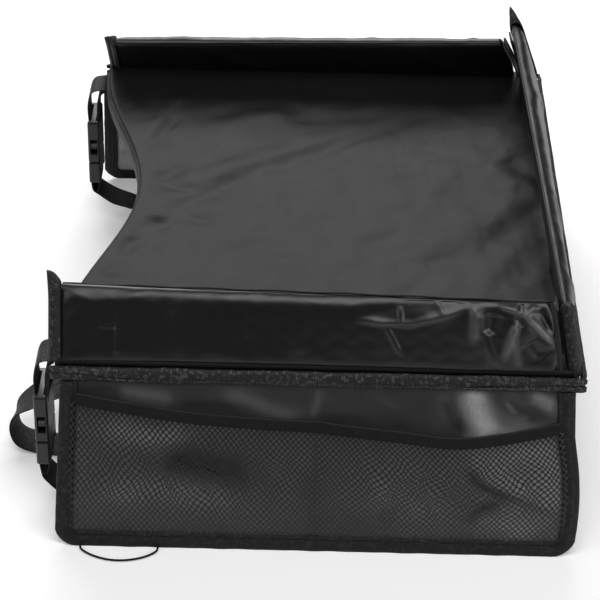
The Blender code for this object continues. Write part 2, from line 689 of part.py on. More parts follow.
def soften(target, width):
    bevel = target.modifiers.new("softened", "BEVEL")
    bevel.width = width
    bevel.segments = 2
    bevel.limit_method = "ANGLE"


def cut_bar(target, name, y, bar_end, slot_end, parent, pivot):
    # The webbing's slot, and the relief that leaves a thin bar at the buckle's end
    half = SLOT_WIDTH / 2
    deep = BUCKLE_THICKNESS / 2 + CUT_OVERRUN
    inward = 1 if slot_end > bar_end else -1
    slot_start = bar_end + inward * BAR_HEIGHT
    low, high = sorted((slot_start, slot_end))
    cut(target, name + "_slot_cut", (BUCKLE_X - deep, y - half, low), (BUCKLE_X + deep, y + half, high),
        parent, pivot)
    low, high = sorted((bar_end - inward * CUT_OVERRUN, slot_start + inward * SLOT_HEIGHT / 2))
    thin = BAR_THICKNESS / 2
    for label, start, end in (("front", -deep, -thin), ("back", thin, deep)):
        cut(target, name + "_" + label + "_cut", (BUCKLE_X + start, y - half, low), (BUCKLE_X + end, y + half, high),
            parent, pivot)


def make_buckle(name, side, tray, plastic):
    y = side * STRAP_Y
    half_x, half_y = BUCKLE_THICKNESS / 2, BUCKLE_WIDTH / 2

    socket = piece(name + "_buckle_socket", box((BUCKLE_X - half_x, y - half_y, MOUTH_Z),
                                                (BUCKLE_X + half_x, y + half_y, BUCKLE_TOP)), plastic, tray)
    soften(socket, BUCKLE_BEVEL)
    well_x, well_y = half_x - SOCKET_WALL, half_y - SOCKET_SIDE_WALL
    cut(socket, name + "_socket_well", (BUCKLE_X - well_x, y - well_y, MOUTH_Z - CUT_OVERRUN),
        (BUCKLE_X + well_x, y + well_y, MOUTH_Z + SOCKET_DEPTH), tray)
    window = MOUTH_Z + WINDOW_START
    cut(socket, name + "_socket_window", (BUCKLE_X - well_x, y - half_y - CUT_OVERRUN, window),
        (BUCKLE_X + well_x, y + half_y + CUT_OVERRUN, window + WINDOW_HEIGHT), tray)
    cut_bar(socket, name + "_socket", y, BUCKLE_TOP, BUCKLE_TOP - BAR_HEIGHT - SLOT_HEIGHT, tray, TRAY)

    pivot = Vector((BUCKLE_X, y, MOUTH_Z))
    slide = carrier(name + "_plug_slide", pivot, tray)
    plug_top = MOUTH_Z - BUCKLE_GAP
    plug = piece(name + "_buckle_plug", box((BUCKLE_X - half_x, y - half_y, PLUG_BOTTOM),
                                            (BUCKLE_X + half_x, y + half_y, plug_top)), plastic, slide, pivot)
    soften(plug, BUCKLE_BEVEL)
    cut_bar(plug, name + "_plug", y, PLUG_BOTTOM, PLUG_BOTTOM + BAR_HEIGHT + SLOT_HEIGHT, slide, pivot)
    thin_x = well_x - BUCKLE_GAP
    tongue = piece(name + "_plug_tongue", box((BUCKLE_X - thin_x, y - TONGUE_WIDTH / 2, plug_top - BAR_HEIGHT),
                                              (BUCKLE_X + thin_x, y + TONGUE_WIDTH / 2, plug_top + TONGUE_LENGTH)),
                   plastic, slide, pivot)
    tongue.hide_render = True
    tongue.display_type = "WIRE"
    join = plug.modifiers.new("tongue", "BOOLEAN")
    join.operation = "UNION"
    join.object = tongue

    # Spring arms with their catches in the socket's windows
    root_z = plug_top + GAP + ARM_WIDTH / 2
    for label, way in (("a", -1), ("b", 1)):
        pivot_arm = Vector((BUCKLE_X, y + way * ARM_ROOT_Y, root_z))
        hinge = carrier(name + "_arm_hinge_" + label, pivot_arm, slide, pivot)
        root = [(ARM_WIDTH / 2 * cos(a), ARM_WIDTH / 2 * sin(a)) for a in steps(pi, 2 * pi, SECTION_STEPS)]
        catch = CATCH_REACH - ARM_ROOT_Y
        outline = root + [(ARM_WIDTH / 2, CATCH_START), (catch, CATCH_START + catch / 4),
                          (catch, CATCH_START + CATCH_HEIGHT / 2), (ARM_WIDTH / 2, CATCH_START + CATCH_HEIGHT),
                          (0, ARM_LENGTH - ARM_WIDTH / 2), (-ARM_WIDTH / 2, ARM_LENGTH - ARM_WIDTH)]
        rings = [[(x, y + way * (ARM_ROOT_Y + out), root_z + up) for out, up in outline]
                 for x in (BUCKLE_X - thin_x, BUCKLE_X + thin_x)]
        piece(name + "_buckle_arm_" + label, loft(rings), plastic, hinge, pivot_arm)


def make_waist_strap(tray, webbing):
    # From the near plug's bar down behind the near panel, out in the loop at the left of the photograph,
    # back under the deck and on to the far plug's bar
    bar_z = PLUG_BOTTOM + BAR_HEIGHT / 2
    floor = WEBBING / 2 + FLOOR_GAP
    turn = [(x, z) for x, z in wrap(BUCKLE_X, bar_z, True)]
    tail = [(BUCKLE_X + WEBBING * TAIL_CLOSE_SHARE, bar_z - TAIL_LENGTH),
            (BUCKLE_X + WRAP_RADIUS * TAIL_OPEN_SHARE, bar_z - TAIL_LENGTH / 2)]
    near = [(x, -STRAP_Y, z) for x, z in tail + turn]
    far = [(x, STRAP_Y, z) for x, z in reversed(tail + turn)]
    middle = [((-DECK_LENGTH / 2 + x * DECK_LENGTH, y * STRAP_Y, floor + z * bar_z), wide)
              for x, y, z, wide in STRAP_SHARES]
    route = near + [place for place, wide in middle] + far
    widths = [NEAR_WIDTH_SHARE] * len(near) + [wide for place, wide in middle] + [FAR_WIDTH_SHARE] * len(far)
    piece("waist_strap", ribbon(route, widths, 2), webbing, tray)


def make_elastic_loop(parent, pivot, elastic):
    # A thin elastic loop sewn into the near panel's bottom tape, lying on the floor
    splay = radians(PANEL_SPLAY)
    start_y = -(HINGE_Y + PANEL_REACH * sin(splay) + PANEL_FACE * cos(splay)) - GAP
    z = LOOP_CORD / 2 + GAP
    route = [(x, start_y - out, z) for x, out in LOOP_CORD_ROUTE]
    curve = bpy.data.curves.new("elastic_loop", "CURVE")
    curve.dimensions = "3D"
    curve.bevel_depth = LOOP_CORD / 2
    curve.bevel_resolution = 2
    curve.use_fill_caps = True
    points = smooth_curve(route, LOOP_CORD_STEPS)
    line = curve.splines.new("POLY")
    line.points.add(len(points) - 1)
    for spot, point in zip(line.points, points):
        spot.co = (*(Vector(point) - pivot), 1)
    curve.materials.append(elastic)
    made = bpy.data.objects.new("elastic_loop", curve)
    made.parent = parent
    bpy.context.scene.collection.objects.link(made)


def main():
    for old in list(bpy.data.objects):
        bpy.data.objects.remove(old)
    fabric = finish("deck_fabric", (0.055, 0.055, 0.056), 0.55)
    wall_fabric = finish("wall_fabric", (0.022, 0.022, 0.023), 0.45)
    webbing = finish("webbing_tape", (0.030, 0.030, 0.031), 0.7)
    foam = finish("foam", (0.35, 0.35, 0.34), 0.9)
    board = finish("board", (0.05, 0.05, 0.05), 0.5)
    net = finish("pocket_net", (0.020, 0.020, 0.020), 0.6)
    plastic = finish("buckle_plastic", (0.018, 0.018, 0.019), 0.35)
    hook = finish("hook_strip", (0.015, 0.015, 0.015), 0.8)
    loop = finish("loop_strip", (0.020, 0.020, 0.020), 0.95)
    elastic = finish("elastic", (0.015, 0.015, 0.015), 0.6)

    tray = carrier("tray", (FRAME_SHIFT, 0, 0))
    make_deck(tray, fabric, webbing, board)
    make_walls(tray, wall_fabric, foam, webbing, hook, loop)
    for name, side in SIDES.items():
        hinge, pivot = make_panel(name, side, tray, wall_fabric, webbing, net, elastic)
        if name == "near":
            make_elastic_loop(hinge, pivot, elastic)
        make_anchor(name, side, tray, webbing)
        make_buckle(name, side, tray, plastic)
    make_waist_strap(tray, webbing)


main()
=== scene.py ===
# Car seat tray table: cloth, tape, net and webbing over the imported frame, seen as in the photograph
import bpy
import numpy as np
from math import cos, hypot, pi, radians, sin, sqrt, tan
from mathutils import Matrix, Vector


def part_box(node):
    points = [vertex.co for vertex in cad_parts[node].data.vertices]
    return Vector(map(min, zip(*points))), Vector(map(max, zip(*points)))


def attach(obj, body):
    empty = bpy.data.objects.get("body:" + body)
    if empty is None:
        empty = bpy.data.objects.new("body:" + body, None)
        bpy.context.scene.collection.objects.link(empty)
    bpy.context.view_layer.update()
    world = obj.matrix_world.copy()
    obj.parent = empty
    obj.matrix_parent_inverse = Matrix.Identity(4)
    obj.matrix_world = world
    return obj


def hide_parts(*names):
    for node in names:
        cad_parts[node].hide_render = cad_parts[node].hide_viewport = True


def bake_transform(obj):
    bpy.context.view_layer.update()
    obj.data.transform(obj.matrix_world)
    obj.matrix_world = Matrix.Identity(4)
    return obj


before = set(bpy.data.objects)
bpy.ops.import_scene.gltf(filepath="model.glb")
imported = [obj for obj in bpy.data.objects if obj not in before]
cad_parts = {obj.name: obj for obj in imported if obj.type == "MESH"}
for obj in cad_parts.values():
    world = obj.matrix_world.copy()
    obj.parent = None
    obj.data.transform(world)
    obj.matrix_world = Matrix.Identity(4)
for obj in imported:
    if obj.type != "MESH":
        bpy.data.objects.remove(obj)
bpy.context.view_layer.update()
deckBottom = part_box("deck_under_cover")[0][2]
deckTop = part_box("deck_top_cover")[1][2]

# The tray's main sizes, in metres: x is measured from the tray's middle, which stands at centre
tray = {"centre": 0.020, "length": 0.330, "width": 0.400, "bellyDepth": 0.036, "bellyHalf": 0.175,
        "bellyMiddle": 0.012}
sides = {"near": -1, "far": 1}


def deselect():
    if bpy.context.object and bpy.context.object.mode != "OBJECT":
        bpy.ops.object.mode_set(mode="OBJECT")
    bpy.ops.object.select_all(action="DESELECT")


def pick(piece):
    deselect()
    piece.select_set(True)
    bpy.context.view_layer.objects.active = piece


def harden(piece):
    # Applies every modifier on the piece
    pick(piece)
    for modifier in list(piece.modifiers):
        bpy.ops.object.modifier_apply(modifier=modifier.name)


def readCorners(piece):
    found = np.empty(len(piece.data.vertices) * 3)
    piece.data.vertices.foreach_get("co", found)
    return found.reshape(-1, 3)


def writeCorners(piece, corners):
    piece.data.vertices.foreach_set("co", np.asarray(corners).ravel())
    piece.data.update()


def gridPiece(name, columns, rows, place, size, thickness=0.0, offset=0.0, smooth=1, closed=False, capped=False,
              turned=False):
    # A sheet of cloth laid by place(u, v), u along columns and v along rows, with its own UV map in metres
    deselect()
    bpy.ops.mesh.primitive_grid_add(x_subdivisions=columns, y_subdivisions=rows, size=2, calc_uvs=True)
    piece = bpy.context.object
    piece.name = piece.data.name = name
    flat = readCorners(piece)
    writeCorners(piece, [place((x + 1) / 2, (y + 1) / 2) for x, y, _ in flat])
    for spot in piece.data.uv_layers[0].data:
        u, v = spot.uv[0] * size[0], spot.uv[1] * size[1]
        spot.uv = (v, u) if turned else (u, v)
    if closed:
        bpy.ops.object.mode_set(mode="EDIT")
        bpy.ops.mesh.select_all(action="SELECT")
        bpy.ops.mesh.remove_doubles(threshold=1e-6)
        if capped:
            bpy.ops.mesh.select_all(action="DESELECT")
            bpy.ops.mesh.select_mode(type="EDGE")
            bpy.ops.mesh.select_non_manifold(extend=False, use_wire=False, use_multi_face=False,
                                             use_non_contiguous=False, use_verts=False)
            bpy.ops.mesh.fill_holes(sides=0)
            bpy.ops.mesh.select_all(action="SELECT")
        bpy.ops.mesh.normals_make_consistent(inside=False)
        bpy.ops.object.mode_set(mode="OBJECT")
    if thickness:
        wall = piece.modifiers.new("thickness", "SOLIDIFY")
        wall.thickness, wall.offset = thickness, offset
    if smooth:
        rounder = piece.modifiers.new("smooth", "SUBSURF")
        rounder.levels = rounder.render_levels = smooth
    harden(piece)
    return piece


def outward(piece):
    # Turns every face outwards
    pick(piece)
    bpy.ops.object.mode_set(mode="EDIT")
    bpy.ops.mesh.select_all(action="SELECT")
    bpy.ops.mesh.normals_make_consistent(inside=False)
    bpy.ops.object.mode_set(mode="OBJECT")


def dress(piece, finish, slot, body, *replaced):
    # Gives the piece its finish, the body it rides on and the nodes it stands for. The slot argument is not used.
    piece.data.materials.clear()
    piece.data.materials.append(finish)
    pick(piece)
    bpy.ops.object.shade_smooth()
    if body:
        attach(piece, body)
    if replaced:
        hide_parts(*replaced)
    return piece


def curveThrough(points, steps):
    # A smooth line through the points, with steps to each span
    found, last = [], len(points) - 1
    for k in range(last):
        before, here, after, beyond = (np.array(points[min(max(k + j, 0), last)], float) for j in (-1, 0, 1, 2))
        for t in np.arange(steps) / steps:
            found.append(here + (after - before) * t / 2 + (before - 2.5 * here + 2 * after - beyond / 2) * t ** 2
                         + (1.5 * (here - after) + (beyond - before) / 2) * t ** 3)
    return np.array(found + [np.array(points[last], float)])


def evenly(line, count):
    # The same line at evenly spaced places
    run = np.concatenate([[0], np.cumsum(np.linalg.norm(np.diff(line, axis=0), axis=1))])
    places = np.linspace(0, run[-1], count)
    return np.stack([np.interp(places, run, line[:, k]) for k in range(line.shape[1])], -1)


def ripple(a, b, seed, pitch, layers=5):
    # Soft uneven waves over two coordinates, between -1 and 1
    rng = np.random.default_rng(seed)
    total, weight = 0, 0
    for layer in range(layers):
        size = pitch / 1.6 ** layer
        turn, phase, bend = rng.uniform(0, 2 * pi, 3)
        along = (a * cos(turn) + b * sin(turn)) * 2 * pi / size
        cross = (b * cos(turn) - a * sin(turn)) * 2 * pi / size
        total = total + np.sin(along + phase + 1.3 * np.sin(cross * 0.6 + bend)) / 1.35 ** layer
        weight += 1 / 1.35 ** layer
    return total / weight * 1.6


def crease(a, b, line, width, taper=0.25):
    # How near each place (a, b) is to a line, from 1 on it to 0, fading towards the line's ends
    line = np.array(line, float)
    run = np.concatenate([[0], np.cumsum(np.linalg.norm(np.diff(line, axis=0), axis=1))])
    best, where = np.full(len(a), 1e9), np.zeros(len(a))
    for k in range(len(line) - 1):
        (ax, ay), (bx, by) = line[k], line[k + 1]
        dx, dy = bx - ax, by - ay
        t = np.clip(((a - ax) * dx + (b - ay) * dy) / max(dx * dx + dy * dy, 1e-12), 0, 1)
        gap = np.hypot(a - ax - t * dx, b - ay - t * dy)
        near = gap < best
        best[near], where[near] = gap[near], (run[k] + t * (run[k + 1] - run[k]))[near]
    share = where / run[-1]
    fade = np.clip(np.minimum(share, 1 - share) / taper, 0, 1)
    return np.exp(-(best / width) ** 2) * (0.25 + 0.75 * fade * (2 - fade))


def fade(piece, shares):
    # Painted light at each corner, kept as an attribute that the cloth's finish mixes towards a pale colour
    wearAndPaintedLight = piece.data.attributes.new("wearAndPaintedLight", "FLOAT", "POINT")
    wearAndPaintedLight.data.foreach_set("value", np.clip(shares, 0, 1).astype(np.float32))


def lengthOf(line):
    return float(np.linalg.norm(np.diff(line, axis=0), axis=1).sum())


def tubeAlong(name, line, radius):
    # A thin round cord of cloth, closed at both ends
    around = 8
    line = np.array(line, float)
    run = np.gradient(line, axis=0)
    run /= np.linalg.norm(run, axis=1, keepdims=True)
    beside = np.cross(run, np.where(np.abs(run[:, 2:3]) > 0.9, [[1.0, 0, 0]], [[0, 0, 1.0]]))
    beside /= np.linalg.norm(beside, axis=1, keepdims=True)
    above = np.cross(beside, run)

    def place(u, v):
        k, turn = int(round(u * (len(line) - 1))), 2 * pi * (int(round(v * around)) % around) / around
        return line[k] + (beside[k] * cos(turn) + above[k] * sin(turn)) * radius

    return gridPiece(name, len(line) - 1, around, place, (lengthOf(line), 2 * pi * radius), smooth=0, closed=True,
                     capped=True)


def curvePiece(name, line):
    curve = bpy.data.curves.new(name, "CURVE")
    curve.dimensions = "3D"
    spline = curve.splines.new("POLY")
    spline.points.add(len(line) - 1)
    for spot, point in zip(spline.points, line):
        spot.co = (*point, 1)
    piece = bpy.data.objects.new(name, curve)
    bpy.context.scene.collection.objects.link(piece)
    return piece


def stitchRow(name, line, stitch, body, upright=False):
    # One stitch, or a slanted pair, repeated along a line with an array and bent to it with a curve
    deselect()
    bpy.ops.mesh.primitive_uv_sphere_add(segments=6, ring_count=4, radius=0.5)
    row = bpy.context.object
    row.name = row.data.name = name
    bpy.ops.object.mode_set(mode="EDIT")
    bpy.ops.mesh.select_all(action="SELECT")
    bpy.ops.transform.resize(value=(stitch["long"], stitch["thick"], stitch["thick"]))
    if stitch.get("slant"):
        turn = {"orient_axis": "Y" if upright else "Z", "center_override": (0, 0, 0)}
        bpy.ops.transform.rotate(value=radians(stitch["slant"]), **turn)
        bpy.ops.mesh.duplicate()
        bpy.ops.transform.rotate(value=radians(-2 * stitch["slant"]), **turn)
        bpy.ops.transform.translate(value=(stitch["pitch"] / 2, 0, 0))
    bpy.ops.object.mode_set(mode="OBJECT")
    line = np.array(line, float)
    guide = curvePiece(name + "Path", line)
    guide.data.twist_mode = "Z_UP"
    many = row.modifiers.new("many", "ARRAY")
    many.count = max(int(lengthOf(line) / stitch["pitch"]), 1)
    many.use_relative_offset, many.use_constant_offset = False, True
    many.constant_offset_displace = (stitch["pitch"], 0, 0)
    bend = row.modifiers.new("path", "CURVE")
    bend.object, bend.deform_axis = guide, "POS_X"
    bpy.context.view_layer.update()
    harden(row)
    bpy.data.objects.remove(guide)
    return dress(row, finishes["thread"], "webbing_tape", body)


# The camera, the lamps, the finishes and the studio come first

photo = {"pixels": 600, "focal": 2213.5, "pitch": 33.8085, "yaw": 0.3138, "roll": 1.1686,
         "place": (0.0139, -1.3236), "aboveDeck": 0.8064}


def setCamera():
    turn = (Matrix.Rotation(radians(photo["yaw"]), 4, "Z") @ Matrix.Rotation(radians(90 - photo["pitch"]), 4, "X")
            @ Matrix.Rotation(radians(photo["roll"]), 4, "Z"))
    bpy.ops.object.camera_add(location=(*photo["place"], deckTop + photo["aboveDeck"]), rotation=turn.to_euler())
    camera = bpy.context.object
    camera.data.sensor_width = 36
    camera.data.lens = 36 * photo["focal"] / photo["pixels"]
    camera.data.clip_end = 20
    bpy.context.scene.camera = camera


deselect()
setCamera()

lamps = {  # name: place, aim, size, watts
    "backSoftbox": ((-0.20, 1.25, 1.15), (0.02, 0.0, 0.10), (1.6, 1.0), 24),
    "frontSoftbox": ((0.10, -0.62, 1.50), (0.02, -0.15, 0.10), (1.2, 0.9), 12.5),
    "rightSoftbox": ((1.30, -1.00, 0.65), (0.05, -0.15, 0.10), (0.5, 0.7), 8),
    "leftSoftbox": ((-1.30, -0.90, 0.75), (0.0, -0.15, 0.10), (0.5, 0.7), 5),
}
for name, (place, aim, size, watts) in lamps.items():
    turn = (Vector(place) - Vector(aim)).to_track_quat("Z", "Y").to_euler()
    bpy.ops.object.light_add(type="AREA", location=place, rotation=turn)
    lamp = bpy.context.object
    lamp.name = name
    lamp.data.shape, lamp.data.size, lamp.data.size_y, lamp.data.energy = "RECTANGLE", *size, watts
    lamp.visible_camera = False


class Wire:
    # A socket that sums and products can be written on
    def __init__(self, finish, socket):
        self.finish, self.socket = finish, socket

    def __add__(self, other):
        return self.finish.math("ADD", self, other)

    def __mul__(self, other):
        return self.finish.math("MULTIPLY", self, other)


class NodeBook:
    # A tree of nodes: every node comes from node(), by its type, settings and sockets
    def __init__(self, tree):
        self.tree = tree

    def node(self, kind, settings=None, sockets=None, output=0):
        made = self.tree.nodes.new(kind)
        for key, value in (settings or {}).items():
            setattr(made, key, value)
        for key, value in (sockets or {}).items():
            self.join(value, made.inputs[key])
        return Wire(self, made.outputs[output])

    def join(self, value, socket):
        if isinstance(value, Wire):
            self.tree.links.new(value.socket, socket)
        else:
            socket.default_value = value

    def math(self, operation, *values):
        return self.node("ShaderNodeMath", {"operation": operation}, dict(enumerate(values)))

    def sine(self, value):
        return self.math("SINE", value)

    def split(self, vector):
        made = self.node("ShaderNodeSeparateXYZ", None, {0: vector})
        return [Wire(self, socket) for socket in made.socket.node.outputs]

    def place(self):
        return self.node("ShaderNodeTexCoord", None, None, "Object")

    def flat(self):
        return self.node("ShaderNodeTexCoord", None, None, "UV")

    def stretched(self, vector, scale):
        return self.node("ShaderNodeVectorMath", {"operation": "MULTIPLY"}, {0: vector, 1: scale})

    def noise(self, vector, scale, detail=3.0, roughness=0.5):
        return self.node("ShaderNodeTexNoise", None, {"Vector": vector, "Scale": scale, "Detail": detail,
                                                      "Roughness": roughness})

    def between(self, value, low, high):
        # value from 0 to 1 taken to the range from low to high
        return self.node("ShaderNodeMapRange", None, {"Value": value, "To Min": low, "To Max": high})

    def mixed(self, share, first, second):
        return self.node("ShaderNodeMix", {"data_type": "RGBA"}, {"Factor": share, 6: first, 7: second}, 2)

    def tint(self, share, dark, light):
        return self.mixed(share, (*dark, 1), (*light, 1))

    def bump(self, height, depth, under=None):
        sockets = {"Height": height, "Distance": depth}
        if under:
            sockets["Normal"] = under
        return self.node("ShaderNodeBump", None, sockets)

    def ray(self, kind):
        return self.node("ShaderNodeLightPath", None, None, kind)


class Finish(NodeBook):
    # A material and its nodes; constants go straight onto the shader's own sockets
    def __init__(self, name, **sockets):
        self.material = bpy.data.materials.new(name)
        self.material.use_nodes = True
        super().__init__(self.material.node_tree)
        self.shader = self.tree.nodes["Principled BSDF"]
        for socket, value in sockets.items():
            self.shader.inputs[socket.replace("_", " ")].default_value = value

    def feed(self, socket, value):
        self.join(value, self.shader.inputs[socket])


nylon = {"pitch": 0.00055, "slub": 900.0, "thread": 45.0, "broad": 14.0, "fine": 220.0, "crumple": 60.0,
         "weaveDepth": 0.00004, "crumpleDepth": 0.0004}


def clothFinish(name, axes, dark, light, rough, level=0.5, sheen=0.0, paintedLightColour=None):
    # Fine plain-woven nylon; axes are the object's two axes that the threads follow, and where the corners carry
    # painted light the colour goes towards paintedLightColour, a painted highlight
    made = Finish(name, Sheen_Weight=sheen, Sheen_Roughness=0.4, Specular_IOR_Level=level)
    place = made.place()
    spots = made.split(place)
    a, b = (spots[axis] for axis in axes)
    turn = 2 * pi / nylon["pitch"]
    weave = made.sine(a * turn) * made.sine(b * turn)
    slub = made.noise(place, nylon["slub"], 2.0)
    # Long uneven threads that run along the second axis
    scale = [nylon["slub"]] * 3
    scale[axes[1]] = nylon["thread"]
    threads = made.noise(made.stretched(place, tuple(scale)), 1.0, 2.0, 0.6)
    broad = made.noise(place, nylon["broad"], 4.0, 0.6)
    fine = made.noise(place, nylon["fine"], 3.0, 0.6)
    crumple = made.noise(place, nylon["crumple"], 2.0, 0.5)
    shade = made.tint(broad * 0.5 + slub * 0.25 + threads * 0.25, dark, light)
    if paintedLightColour:
        # Painted light: where the corners carry it, the colour goes towards a pale grey, broken up by the slubs
        # and threads
        wearAndPaintedLight = made.node("ShaderNodeAttribute", {"attribute_name": "wearAndPaintedLight"}, None, "Fac")
        shade = made.mixed(wearAndPaintedLight * (slub * 0.5 + threads * 0.5 + 0.4), shade, (*paintedLightColour, 1))
    made.feed("Base Color", shade)
    made.feed("Roughness", made.between(fine * 0.3 + broad * 0.4 + threads * 0.3, rough - 0.08, rough + 0.10))
    under = made.bump(crumple, nylon["crumpleDepth"])
    made.feed("Normal", made.bump(weave * 0.4 + slub * 0.3 + threads * 0.5, nylon["weaveDepth"], under))
    return made.material


tapes = {"zigzag": 0.0022, "grain": 1500.0, "wear": 90.0, "fleck": 420.0, "fleckRange": (-4.6, 4.6),
         "least": 0.15}


def tapeFinish(name, dark, light, rough, pitch, lean=0.0, lines=0.0, depth=0.00025, level=0.4):
    # Ribbed tape or webbing: ribs across the UV map's u, leaning into a zigzag, and cords along it
    made = Finish(name, Specular_IOR_Level=level)
    u, v, _ = made.split(made.flat())
    zig = made.math("PINGPONG", v, tapes["zigzag"]) * lean
    ribs = made.sine((u + zig) * (2 * pi / pitch)) * 0.5 + 0.5
    grain = made.noise(made.place(), tapes["grain"], 2.0)
    wearAndPaintedLight = made.noise(made.place(), tapes["wear"], 4.0, 0.6)
    flecks = made.between(made.noise(made.place(), tapes["fleck"], 1.5), *tapes["fleckRange"])
    height = ribs * 0.75 + grain * 0.25
    if lines:
        height = height + (made.sine(v * (2 * pi / lines)) * 0.5 + 0.5) * 0.5
    # Painted shade and highlight: the colour is darker in the rib valleys and lighter on the crests, with random
    # wear and flecks over it
    shade = (height * 0.7 + wearAndPaintedLight * 0.4) * made.math("MAXIMUM", flecks, tapes["least"])
    made.feed("Base Color", made.tint(shade, dark, light))
    made.feed("Roughness", made.between(wearAndPaintedLight, rough - 0.08, rough + 0.1))
    made.feed("Normal", made.bump(height, depth))
    return made.material


def plasticFinish(name, shade, rough, grain=0.00003, level=0.5):
    made = Finish(name, Specular_IOR_Level=level)
    place = made.place()
    wearAndPaintedLight = made.noise(place, 120.0, 4.0, 0.6)
    made.feed("Base Color", made.tint(wearAndPaintedLight, shade, tuple(part * 1.7 for part in shade)))
    made.feed("Roughness", made.between(wearAndPaintedLight, rough - 0.08, rough + 0.12))
    made.feed("Normal", made.bump(made.noise(place, 2600.0, 2.0), grain))
    return made.material


def fuzzFinish(name, shade, scale, depth, rough=0.9):
    made = Finish(name, Specular_IOR_Level=0.3, Sheen_Weight=0.15)
    place = made.place()
    tuft = made.noise(place, scale, 3.0, 0.7)
    dark, light = (tuple(part * share for part in shade) for share in (0.5, 1.8))
    made.feed("Base Color", made.tint(tuft, dark, light))
    made.feed("Roughness", made.between(tuft, rough - 0.1, rough + 0.05))
    made.feed("Normal", made.bump(tuft, depth))
    return made.material


def grey(level, blue=None):
    return (level, level, blue or level)


wallShades = grey(0.0035, 0.0036), grey(0.0065, 0.0067)
finishes = {
    "deck": clothFinish("deckNylon", (0, 1), grey(0.008, 0.0082), grey(0.014, 0.0143), 0.42, 0.11),
    # The side walls and the panels get pale greys for their painted highlights
    "sideWall": clothFinish("sideWallNylon", (0, 2), *wallShades, 0.31, 0.56, paintedLightColour=grey(0.13, 0.132)),
    "frontWall": clothFinish("frontWallNylon", (1, 2), *wallShades, 0.36, 0.25),
    "panel": clothFinish("panelNylon", (0, 2), grey(0.016, 0.0164), grey(0.026, 0.0265), 0.34, 0.6, 0.08,
                         paintedLightColour=grey(0.42, 0.424)),
    "under": clothFinish("underNylon", (0, 1), grey(0.010, 0.0103), grey(0.018, 0.0184), 0.5),
    "binding": tapeFinish("bindingTape", grey(0.006), grey(0.070, 0.071), 0.55, 0.0016, lean=0.7, depth=0.0003),
    "edge": tapeFinish("edgeTape", grey(0.003), grey(0.074, 0.076), 0.62, 0.0015, lean=0.35, depth=0.0003),
    "cap": tapeFinish("capTape", grey(0.003), grey(0.046, 0.044), 0.62, 0.0016, lean=0.3, depth=0.0003),
    "panelTape": tapeFinish("panelTape", grey(0.003), grey(0.018, 0.0183), 0.60, 0.0009, lines=0.0030,
                            level=0.28),
    "webbing": tapeFinish("strapWebbing", grey(0.006), grey(0.030, 0.031), 0.55, 0.0017, lean=0.9, lines=0.0021,
                          depth=0.0004),
    "band": tapeFinish("elasticBand", grey(0.003), grey(0.008), 0.62, 0.0008, lines=0.0011, level=0.22),
    "groove": plasticFinish("seamShade", grey(0.0015), 0.9, level=0.1),
    "piping": plasticFinish("pipingCloth", grey(0.006, 0.0061), 0.55, 0.0001, 0.3),
    "net": plasticFinish("netStrand", grey(0.005, 0.0052), 0.42, 0.00005),
    "buckle": plasticFinish("bucklePlastic", grey(0.009, 0.0093), 0.32),
    "zip": plasticFinish("zipPlastic", grey(0.030, 0.0305), 0.36),
    "board": plasticFinish("boardPlastic", grey(0.05), 0.5),
    "hook": fuzzFinish("hookPlastic", grey(0.010), 1500.0, 0.0005, 0.6),
    "loop": fuzzFinish("loopPile", grey(0.014), 900.0, 0.0007),
    # The stitch thread is painted pale grey as painted highlight, for the glints it catches
    "thread": plasticFinish("stitchThread", grey(0.075, 0.077), 0.5),
}
print("finishes:", len(finishes))

studio = {"floorSize": 8, "drop": 0.0002, "ambient": 0.12, "paper": 0.88, "paperGlow": 0.20, "darkFrom": -0.34,
          "darkBy": -0.50, "dark": 0.12, "darkGlow": 0.80}


def floorFinish():
    # White paper that shows white to the camera and to transmission rays, and keeps the tray's shadow
    made = Finish("floorPaper", Roughness=0.9, Specular_IOR_Level=0.1, Emission_Strength=1.0)
    paper = made.noise(made.place(), 300.0, 3.0)
    # The paper ends in front of the tray, and the dim studio begins there
    depth = made.split(made.place())[1]
    near = made.node("ShaderNodeMapRange", None, {"Value": depth, "From Min": studio["darkBy"],
                                                  "From Max": studio["darkFrom"]})
    made.feed("Base Color", made.tint(near, grey(studio["dark"]), grey(studio["paper"])))
    made.feed("Normal", made.bump(paper, 0.00003))
    seen = made.math("MAXIMUM", made.ray("Is Camera Ray"), made.ray("Is Transmission Ray"))
    glow = made.tint(near, grey(studio["darkGlow"]), grey(studio["paperGlow"]))
    made.feed("Emission Color", made.mixed(seen, (0, 0, 0, 1), glow))
    return made.material


def setStage():
    deselect()
    bpy.ops.mesh.primitive_plane_add(size=studio["floorSize"], location=(0, 0, 0))
    floor = bpy.context.object
    floor.name = floor.data.name = "floor"
    bpy.ops.object.mode_set(mode="EDIT")
    bpy.ops.mesh.select_all(action="SELECT")
    bpy.ops.mesh.subdivide(number_cuts=3)
    bpy.ops.transform.translate(value=(0, 0, -studio["drop"]))
    bpy.ops.object.mode_set(mode="OBJECT")
    floor.data.materials.append(floorFinish())
    world = bpy.data.worlds.new("studio")
    bpy.context.scene.world = world
    world.use_nodes = True
    book = NodeBook(world.node_tree)
    shell = world.node_tree.nodes["Background"]
    book.join(book.tint(book.ray("Is Camera Ray"), grey(studio["ambient"]), grey(1)), shell.inputs["Color"])
    bpy.context.scene.view_settings.view_transform = "Standard"


setStage()

# The elastic loop under the near panel

loopCord = {"thick": 0.0014, "rise": 0.0003, "steps": 4,
            "route": [(-0.1500, 0), (-0.1490, 0.0040), (-0.1440, 0.0085), (-0.1360, 0.0125), (-0.1265, 0.0145),
                      (-0.1160, 0.0135), (-0.1070, 0.0100), (-0.1010, 0.0050), (-0.1000, 0)]}


